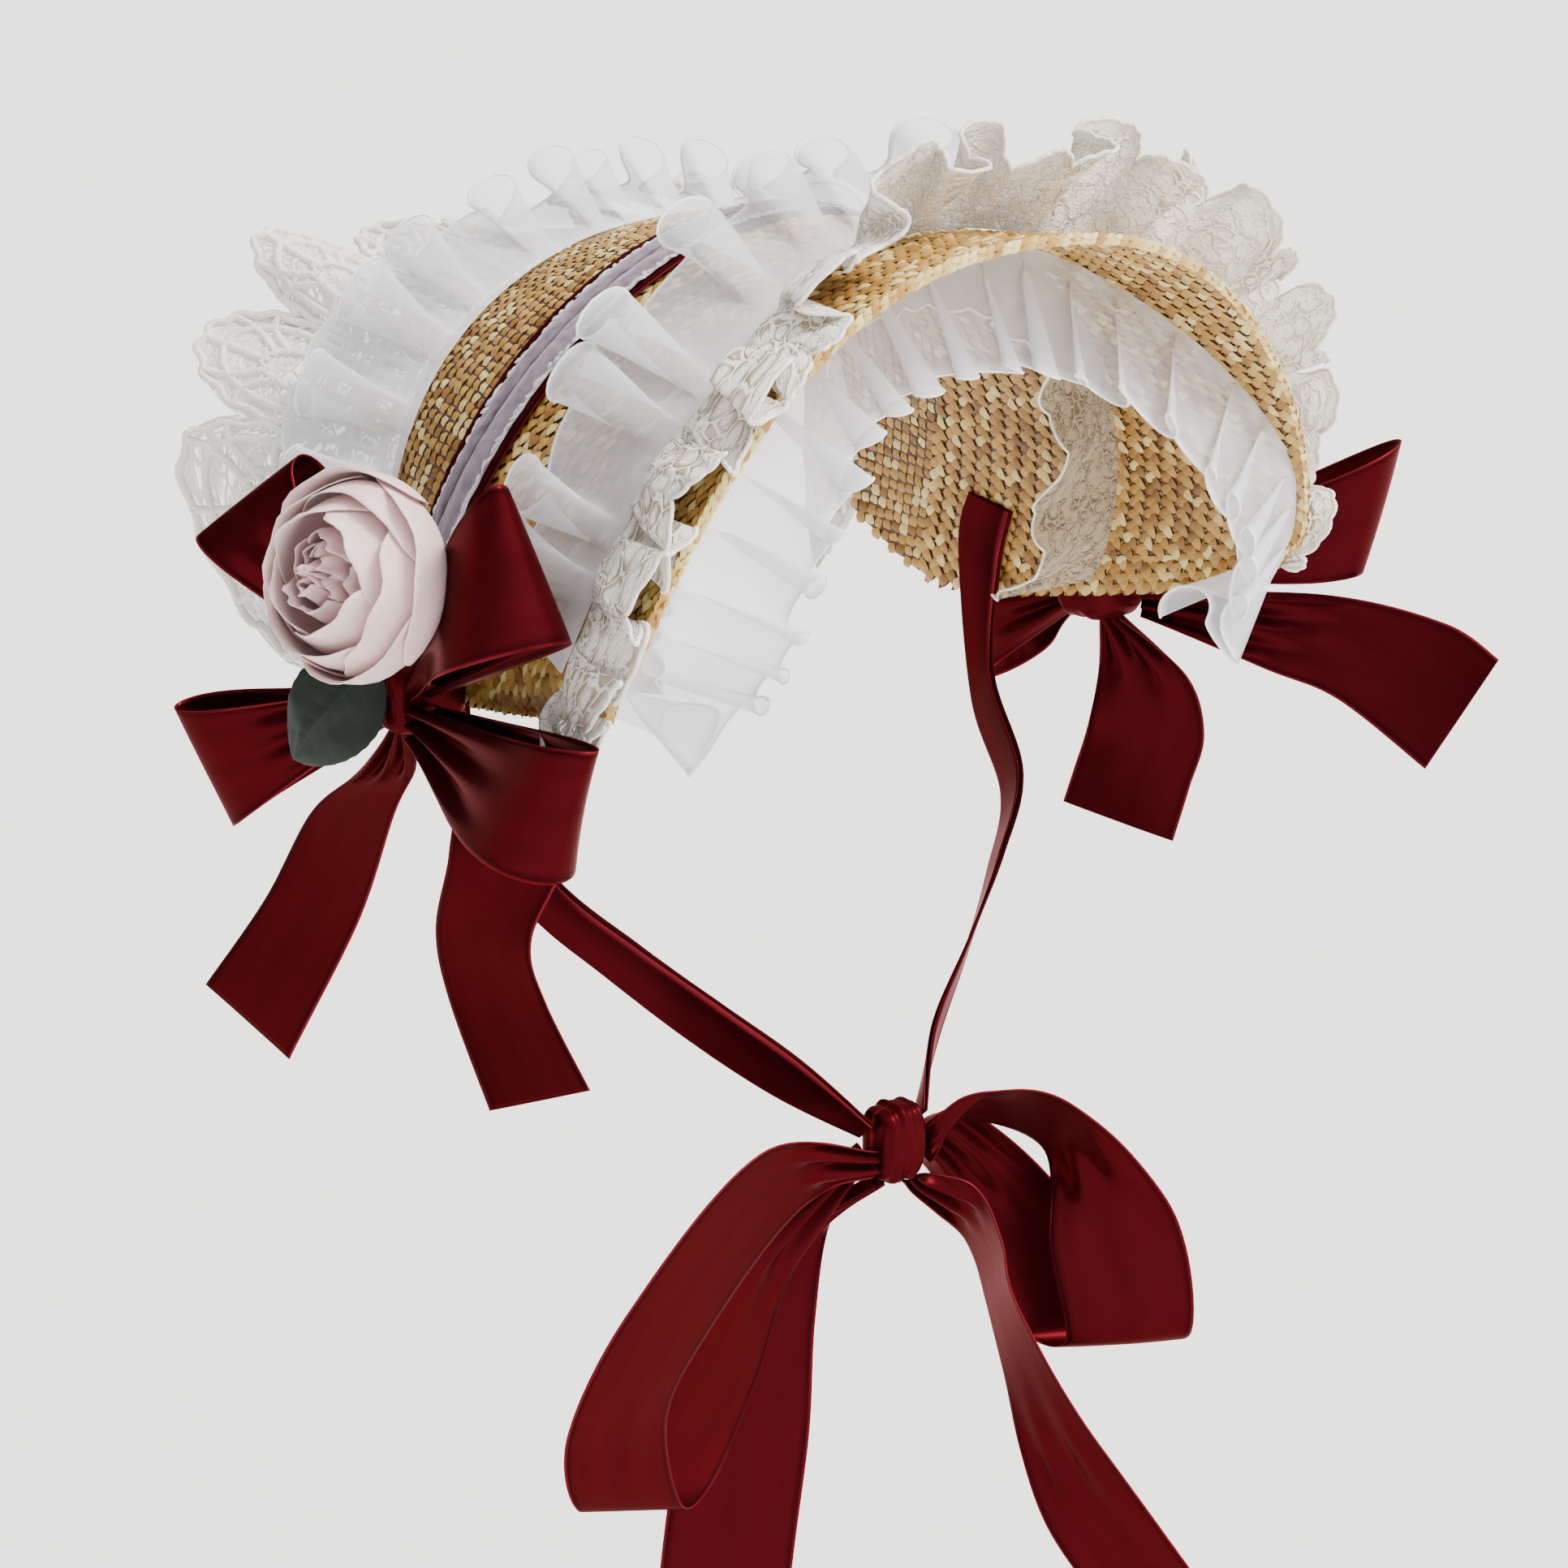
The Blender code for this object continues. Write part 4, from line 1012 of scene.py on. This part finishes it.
def back_lace(u, v, lobed=True):
    """Stands out behind the crown and fans at the feet; its edge runs in lobes, or straight for the cords."""
    reach = FRILL_ROWS["back_lace"]["reach"]
    turn = -reach + 2 * reach * u
    side = smooth(0.10, 0.62, abs(turn))
    foot = smooth(0.84, 1.0, abs(turn))
    length = BACK_LACE_LENGTH * (0.60 + 0.40 * side)
    tilt = math.radians(12 + 26 * side)
    wave = 0.007 * v * math.sin(math.tau * (6 * u + 0.5 * ripple(0.2, turn, 3.7)))
    lobe = 0.70 + 0.30 * abs(math.sin(math.pi * LOBES * u)) ** 0.7 if lobed else 1.0
    out = length * v * (1 + (lobe - 1) * v)
    fan = 0.75 * out * foot * math.copysign(1, turn)
    out *= 1 - 0.35 * foot
    back = out * math.cos(tilt) - wave * math.sin(tilt)
    up = LAY_GAP + out * math.sin(tilt) + wave * math.cos(tilt)
    return on_line(turn, BACK_LACE_SHARE, (fan, -back, up))


def crochet_lobe(n):
    """The cords of one lobe: three rings round its heart, two of them bumpy, and bars across them."""

    def on_lobe(size, angle):
        """A point of the lobe at that share of its own size from its heart."""
        across = size * math.cos(angle) * 0.97
        return back_lace((n + 0.5 + 0.5 * across) / LOBES, 0.52 + 0.46 * size * math.sin(angle), lobed=False)

    cords = []
    for ring, steps, bumps in ((0.97, 60, 0.035), (0.74, 40, 0.0), (0.34, 18, 0.03)):
        angles = [math.pi * (-0.14 + 1.28 * i / steps) for i in range(steps + 1)]
        cords.append([on_lobe(ring + bumps * math.sin(15 * angle), angle) for angle in angles])
    for bar in range(LOBE_BARS):
        angle = math.pi * (-0.02 + 1.04 * bar / (LOBE_BARS - 1))
        bow = 0.16 * math.sin(bar * 2.1)
        steps = [(0.28 + 0.69 * k / 5, angle + bow * math.sin(math.pi * k / 5)) for k in range(6)]
        cords.append([on_lobe(size, turned) for size, turned in steps])
    return cords


def make_back_lace():
    """A sheer net ground with crocheted lobes on it, and three cords and short bars along its seam."""
    row = FRILL_ROWS["back_lace"]
    flat = cut_of(row, lambda turn: BACK_LACE_SHARE)
    size = (flat[1] / MM, flat[0] / MM)
    mesh = bent_grid(row["across"], row["out"], lambda u, w: back_lace(u, w * 0.97), size)
    net = keep(row["name"], to_data(mesh), NET, row["slot"], ("back_lace",))
    cords = [cord for n in range(LOBES) for cord in crochet_lobe(n)]
    steps = 160
    for level in (0.05, 0.20, 0.36):
        cords.append([back_lace(i / steps, level, False) for i in range(steps + 1)])
    bars = LOBES * 5
    for i in range(bars + 1):
        cords.append([back_lace(i / bars, 0.05 + 0.31 * k / 3, False) for k in range(4)])
    crochet = edge_cord("back_crochet", cords, row["hem"], CROCHET, row["slot"], 1)


def make_frills():
    frill("brim_organza", brim_organza, brim_frill_share, ORGANZA)
    frill("brim_lace", brim_lace, brim_frill_share, LACE, edge_tone(0.9, 0.90, 0.97))
    frill("inner_ruffle", inner_ruffle, inner_share, FINE_ORGANZA)
    beige_edge = edge_tone(0.6, 0.92, 0.98)
    frill("inner_lace", inner_lace, lambda turn: INNER_LACE_SHARE, BEIGE_LACE, beige_edge)
    frill("back_organza", back_organza, lambda turn: BACK_ORGANZA_SHARE, ORGANZA)
    make_back_lace()


# ribbons


def ribbon_piece(name, node, centre_at, steps, pleats):
    """A satin ribbon: centre_at gives its middle and half its width as vectors at a share of its length."""
    stops = [centre_at(i / steps) for i in range(steps + 1)]
    way = sum((b[0] - a[0]).length for a, b in zip(stops, stops[1:]))
    ways = [(stops[min(steps, i + 1)][0] - stops[max(0, i - 1)][0]).normalized() for i in range(steps + 1)]
    normals = [forward.cross(stop[1]).normalized() for forward, stop in zip(ways, stops)]
    seed = sum(ord(c) for c in name) * 0.37

    def bend(u, w):
        i = min(steps, int(round(w * steps)))
        middle, half = stops[i]
        side = 2 * u - 1
        square = half.cross(ways[i]).length
        pinch = max(0.0, 1 - square * 2 / RIBBON_WIDTH)
        deep = min(2.4 * MM, pleats * math.sqrt(max(0.0, RIBBON_WIDTH**2 - 4 * square**2)) / 4 / CREASES)
        deep *= smooth(0.10, 0.50, 1 - half.length * 2 / RIBBON_WIDTH)
        crease = deep * math.sin(side * math.pi * CREASES + seed)
        soft = 0.8 * MM * ripple(0.045, w * way, side * 0.02, seed) * (1 - pinch)
        curl = -0.7 * MM * (side * side - 0.33) * (1 - pinch) * math.sin(w * way / 0.045 + seed)
        return middle + half * side + normals[i] * (crease + soft + curl)

    mesh = bent_grid(24, steps, bend, (1.0, way / MM))
    made = keep(name, to_data(mesh), SATIN, "satin", (node,), SATIN_WALL)


def loop_stops(knot, axes, row):
    """The middle and half width of a bow loop, from the knot out to its fold and back."""
    forward, up, out = axes
    start = knot + forward * row["side"] * (KNOT_LENGTH / 2 + KNOT_GAP) + up * row["start"] * RIBBON_WIDTH
    fold = place(knot, axes, row["fold"])
    wide = direction(axes, row["half"])
    wide *= RIBBON_WIDTH / 2 / wide.length
    way = fold - start
    puff_way = way.cross(wide).normalized()
    if puff_way.dot(out) < 0:
        puff_way = -puff_way
    narrow = up * (RIBBON_WIDTH * PINCH / 2) * math.copysign(1, wide.dot(up) or 1)

    def at(t):
        reach = math.sin(math.pi * t) ** 0.9 if 0 < t < 1 else 0.0
        bulge = row["puff"] * RIBBON_WIDTH * math.sin(math.tau * t) * (0.5 + 0.5 * reach)
        half = narrow.lerp(wide, reach) + puff_way * bulge * row["flare"]
        middle = start + way * reach + puff_way * bulge + out * 0.0035 * math.cos(math.pi * t)
        return middle, half

    return at


def knot_piece(name, node, knot, axes, size, root):
    """Satin wrapped round the middle, with creases along the wrap; it reaches in to the straw by root."""
    forward, up, out = axes
    mesh, _ = new_mesh()
    bmesh.ops.create_uvsphere(mesh, u_segments=64, v_segments=40, radius=1.0, calc_uvs=True)
    for v in mesh.verts:
        x, y, z = v.co
        square = (abs(x) ** 3.4 + abs(y) ** 3.4 + abs(z) ** 3.4) ** (-1 / 3.4)
        x, y, z = x * square, y * square, z * square
        waist = 1 - 0.10 * (1 - z * z)
        groove = 0.045 * math.sin(9 * x + 2.5 * z) + 0.03 * math.sin(17 * x - 3 * z)
        deep = y * size[2] / 2 * (1 + groove) if y > 0 else y * (size[2] / 2 + root)
        v.co = (
            knot
            + forward * x * size[0] / 2 * waist * (1 + 0.5 * groove * abs(y))
            + up * z * size[1] / 2 * (1 + groove)
            + out * deep
        )
    keep(name, to_data(mesh), SATIN, "satin", (node,))


def make_bow(side_name, knot, side, loops, tails, root):
    axes = bow_axes(side)
    prefix = f"bow_{side_name}"
    knot_name = f"satin_{prefix}_knot"
    size = (KNOT_LENGTH - KNOT_INSET, KNOT_HEIGHT - KNOT_INSET, KNOT_DEPTH)
    knot_piece(knot_name, f"{prefix}_knot", knot, axes, size, root)
    for row in columns(loops):
        node = f"{prefix}_{row['name']}"
        ribbon_piece(f"satin_{node}", node, loop_stops(knot, axes, row), 72, 0.5)
    for row in columns(tails):
        node = f"{prefix}_{row['name']}"
        stops = from_knot(knot, axes, row["stops"])
        ribbon_piece(f"satin_{node}", node, lambda t: blend(stops, t), 64, 0.6)


def make_chin():
    """The chin knot with its loops and tails, and the strap's two halves up to the straw."""
    size = (CHIN_KNOT_SIZE[0] - KNOT_INSET, CHIN_KNOT_SIZE[1] - KNOT_INSET, CHIN_KNOT_SIZE[2])
    knot_piece("satin_chin_knot", "chin_knot", CHIN_KNOT, CHIN_AXES, size, 0.0)
    for row in columns(TIES_CHIN):
        node = f"chin_{row['name']}"
        stops = from_knot(CHIN_KNOT, CHIN_AXES, row["stops"])
        ribbon_piece(f"satin_{node}", node, lambda t: blend(stops, t), 110, 0.6)
    for name, side in (("right", 1), ("left", -1)):
        stops = []
        for turn, away in STRAP_TURNS:
            _, _, forward, _ = frame(turn, STRAP_SHARE)
            inside = off_shell(turn, STRAP_SHARE, INSIDE - SATIN_WALL - away)
            stops.append((inside, forward * -STRAP_HALF * RIBBON_WIDTH))
        rows = columns(STRAP_STOPS)
        points = [place(CHIN_KNOT, CHIN_AXES, row["at"]) for row in rows]
        for i, row in enumerate(rows):
            way = points[min(i + 1, len(rows) - 1)] - points[max(0, i - 1)]
            half = way.cross(direction(CHIN_AXES, row["faces"])).normalized()
            stops.append((points[i], half * row["wide"] * STRAP_HALF * RIBBON_WIDTH))
        for middle, half in stops:
            middle.x *= side
            half.x *= side
        line = [blend(stops, i / 110) for i in range(111)]
        strap_piece(f"satin_chin_strap_{name}", f"chin_strap_{name}", line)


STRAP_FOLD = (
    ("side", "layer"),
    (-0.95, 0.0),
    (0.90, 0.1),
    (1.02, 0.45),
    (0.90, 0.8),
    (-0.90, 0.95),
    (-1.02, 1.3),
    (-0.90, 1.65),
    (0.35, 1.75),
    (0.62, 1.9),
)


def strap_piece(name, node, line):
    """The strap: its ribbon is folded lengthwise in three, so that one fold and one free edge show."""
    steps = len(line) - 1
    way = sum((b[0] - a[0]).length for a, b in zip(line, line[1:]))
    fold = [Vector((row["side"], row["layer"], 0)) for row in columns(STRAP_FOLD)]

    def bend(u, w):
        i = min(steps, int(round(w * steps)))
        middle, half = line[i]
        a, b = line[max(0, i - 1)][0], line[min(steps, i + 1)][0]
        normal = (b - a).cross(half).normalized()
        side, layer, _ = blend([(stop,) for stop in fold], u)[0]
        open_up = 1 + 0.9 * ripple(0.05, w * way, 1.5) + 1.2 * math.sin(math.pi * w) * max(0, layer - 1)
        return middle + half * side + normal * (layer - 0.9) * 0.75 * MM * open_up

    mesh = bent_grid(40, steps, bend, (1.0, way / MM))
    made = keep(name, to_data(mesh), SATIN, "satin", (node,), STRAP_WALL)


# rose and leaf

ROSE_RINGS = (
    ("petals", "foot", "bulge", "lip", "top", "wide", "curl", "turn"),
    (5, 0.10, 0.20, 0.10, 0.62, 1.7, 0.10, 0.0),
    (6, 0.14, 0.34, 0.26, 0.60, 1.5, 0.14, 0.5),
    (6, 0.16, 0.50, 0.42, 0.52, 1.6, 0.10, 0.2),
    (4, 0.20, 0.80, 0.60, 0.56, 1.55, 0.02, 0.9),
    (4, 0.22, 0.95, 0.80, 0.46, 1.55, -0.03, 0.3),
    (4, 0.24, 1.03, 1.00, 0.26, 1.5, -0.08, 1.1),
)


def make_rose(rng):
    """Rings of petals, tight and upright at the heart, wide and curled back outside."""
    axes = bow_axes(-1)
    centre = place(KNOT_RIGHT, axes, ROSE_AT)
    axis = direction(axes, ROSE_AXIS).normalized()
    side = axis.cross(Vector((0, 0, 1))).normalized()
    over = side.cross(axis)
    whole, _ = new_mesh()
    base = -0.48 * ROSE_HEIGHT
    for ring in columns(ROSE_RINGS):
        for n in range(ring["petals"]):
            start = math.tau * n / ring["petals"] + ring["turn"] + rng.uniform(-0.15, 0.15)
            spread = math.tau / ring["petals"] * ring["wide"] / 2
            tall = rng.uniform(0.90, 1.08)
            inner = 1 - smooth(0.3, 0.7, ring["bulge"])

            def bend(u, w):
                x = 2 * u - 1
                angle = start + spread * x * (0.55 + 0.45 * math.sin(math.pi * (0.12 + 0.6 * w)))
                round_off = 1 - 0.30 * abs(x) ** 3.2 * w - 0.03 * math.cos(9 * x + n) * w
                rise = w * tall * round_off
                swell = math.sin(math.pi / 2 * min(1, rise * 1.9)) ** 0.8
                radius = ring["foot"] + (ring["bulge"] - ring["foot"]) * swell
                radius += (ring["lip"] - ring["bulge"]) * smooth(0.5, 1.0, rise)
                radius -= ring["curl"] * smooth(0.80, 1.0, rise) * 0.6
                radius += 0.03 * x + 0.05 * inner * math.sin(5 * x + 2 * n) * w
                radius += 0.03 * ripple(0.5, x, w, n + ring["bulge"] * 9)
                height = base + (ring["top"] * ROSE_HEIGHT - base) * rise
                way = side * math.cos(angle) + over * math.sin(angle)
                return centre + axis * height + way * radius * ROSE_RADIUS

            # the tone rises from a dark foot to a pale lip, less in the inner rings: painted shade deep in
            # the rose and painted light on the lips
            pale = 0.65 - 0.35 * inner
            take_in(whole, bent_grid(14, 12, bend, (10, 10), lambda u, w: 0.25 + pale * w**1.2))
    keep("voile_rose", to_data(whole), PETAL, "petal", ("rose",), 0.4 * MM)


def make_leaf():
    """One pointed leaf below the rose, arched, with its midrib and side veins pressed in."""
    axes = bow_axes(-1)
    foot, tip = place(KNOT_RIGHT, axes, LEAF_FOOT), place(KNOT_RIGHT, axes, LEAF_TIP)
    way = tip - foot
    across = way.cross(direction(axes, LEAF_FACE)).normalized()
    out = across.cross(way).normalized()
    if out.dot(axes[2]) < 0:
        out = -out
    veins = 7

    def vein(x, t):
        run = (t - 0.45 * abs(x) * 0.4) * veins
        return max(1 - smooth(0, 0.07, abs(x)), (1 - smooth(0, 0.16, abs(run - round(run)))) * (1 - abs(x)))

    def bend(u, w):
        x = 2 * u - 1
        half = LEAF_WIDTH / 2 * (0.10 + 0.90 * math.sin(math.pi * min(1, w**0.8)) ** 0.7)
        half *= (1 - 0.10 * smooth(0.97, 1, w)) * (1 + 0.008 * math.sin(60 * w))
        arch = 0.006 * math.sin(math.pi * w) - 0.003 * abs(x) * min(1, 3 * w) - 0.25 * MM * vein(x, w)
        return foot + way * w + across * half * x + out * (arch + 1.0 * MM * ripple(0.4, x, w * 2, 3.3))

    mesh = bent_grid(28, 44, bend, (1.0, 1.0), lambda u, w: 0.3 + 0.25 * vein(2 * u - 1, w))
    keep("cloth_leaf", to_data(mesh), LEAF, "leaf", ("leaf",), 0.6 * MM)


# room, light and camera


def make_room():
    scene = bpy.context.scene
    right = Vector((math.cos(CAMERA_TURN), -math.sin(CAMERA_TURN), 0))
    level = Vector((-math.sin(CAMERA_TURN), -math.cos(CAMERA_TURN), 0))
    back = level * math.cos(CAMERA_RISE) + Vector((0, 0, math.sin(CAMERA_RISE)))
    up = back.cross(right)
    lens = bpy.data.cameras.new("camera")
    lens.lens = LENS
    lens.sensor_width = 36
    camera = bpy.data.objects.new("camera", lens)
    scene.collection.objects.link(camera)
    turned = Matrix((right, up, back)).transposed().to_4x4()
    camera.matrix_world = Matrix.Translation(LOOK_AT + back * CAMERA_AWAY) @ turned
    scene.camera = camera

    mesh = bmesh.new()
    bmesh.ops.create_grid(mesh, x_segments=2, y_segments=2, size=14)
    for v in mesh.verts:
        v.co.z = FLOOR_Z
    data = to_data(mesh)
    paper, _, _ = new_material("pale seamless paper", {"Base Color": colour("f8f8f8"), "Roughness": 0.9})
    data.materials.append(paper)
    floor = bpy.data.objects.new("floor", data)
    scene.collection.objects.link(floor)

    world = bpy.data.worlds.new("studio")
    world.use_nodes = True
    sky = world.node_tree.nodes["Background"]
    around = add(world.node_tree, "TexCoord")
    towards = (right * GLOW_FROM[0] + up * GLOW_FROM[1] + back * GLOW_FROM[2]).normalized()
    facing = add(
        world.node_tree,
        "VectorMath",
        {"operation": "DOT_PRODUCT"},
        {0: around.outputs["Generated"], 1: tuple(towards)},
    )
    glow = {"From Min": -0.35, "From Max": 0.85, "To Min": 0.20, "To Max": 2.9}
    strength = glow | {"Value": facing.outputs["Value"]}
    add(world.node_tree, "MapRange", inputs=strength, feeds=sky.inputs["Strength"])
    sky.inputs["Color"].default_value = colour("f6f6f8")
    scene.world = world
    sun = bpy.data.lights.new("key", "SUN")
    sun.energy = KEY_STRENGTH
    sun.angle = math.radians(22)
    sun.color = colour("fff6ea")[:3]
    key = bpy.data.objects.new("key", sun)
    towards = right * KEY_FROM[0] + Vector((0, 0, 1)) * KEY_FROM[1] + back * KEY_FROM[2]
    key.rotation_euler = towards.to_track_quat("Z", "Y").to_euler()
    scene.collection.objects.link(key)


def main():
    make_room()
    make_chin()
    make_bow("right", KNOT_RIGHT, -1, LOOPS_RIGHT, TAILS_RIGHT, KNOT_ROOT_RIGHT)
    make_bow("left", KNOT_LEFT, 1, LOOPS_LEFT, TAILS_LEFT, KNOT_ROOT_LEFT)
    make_crown(random.Random(11))
    make_brim(random.Random(23))
    make_band()
    make_frills()
    make_rose(random.Random(5))
    make_leaf()


main()
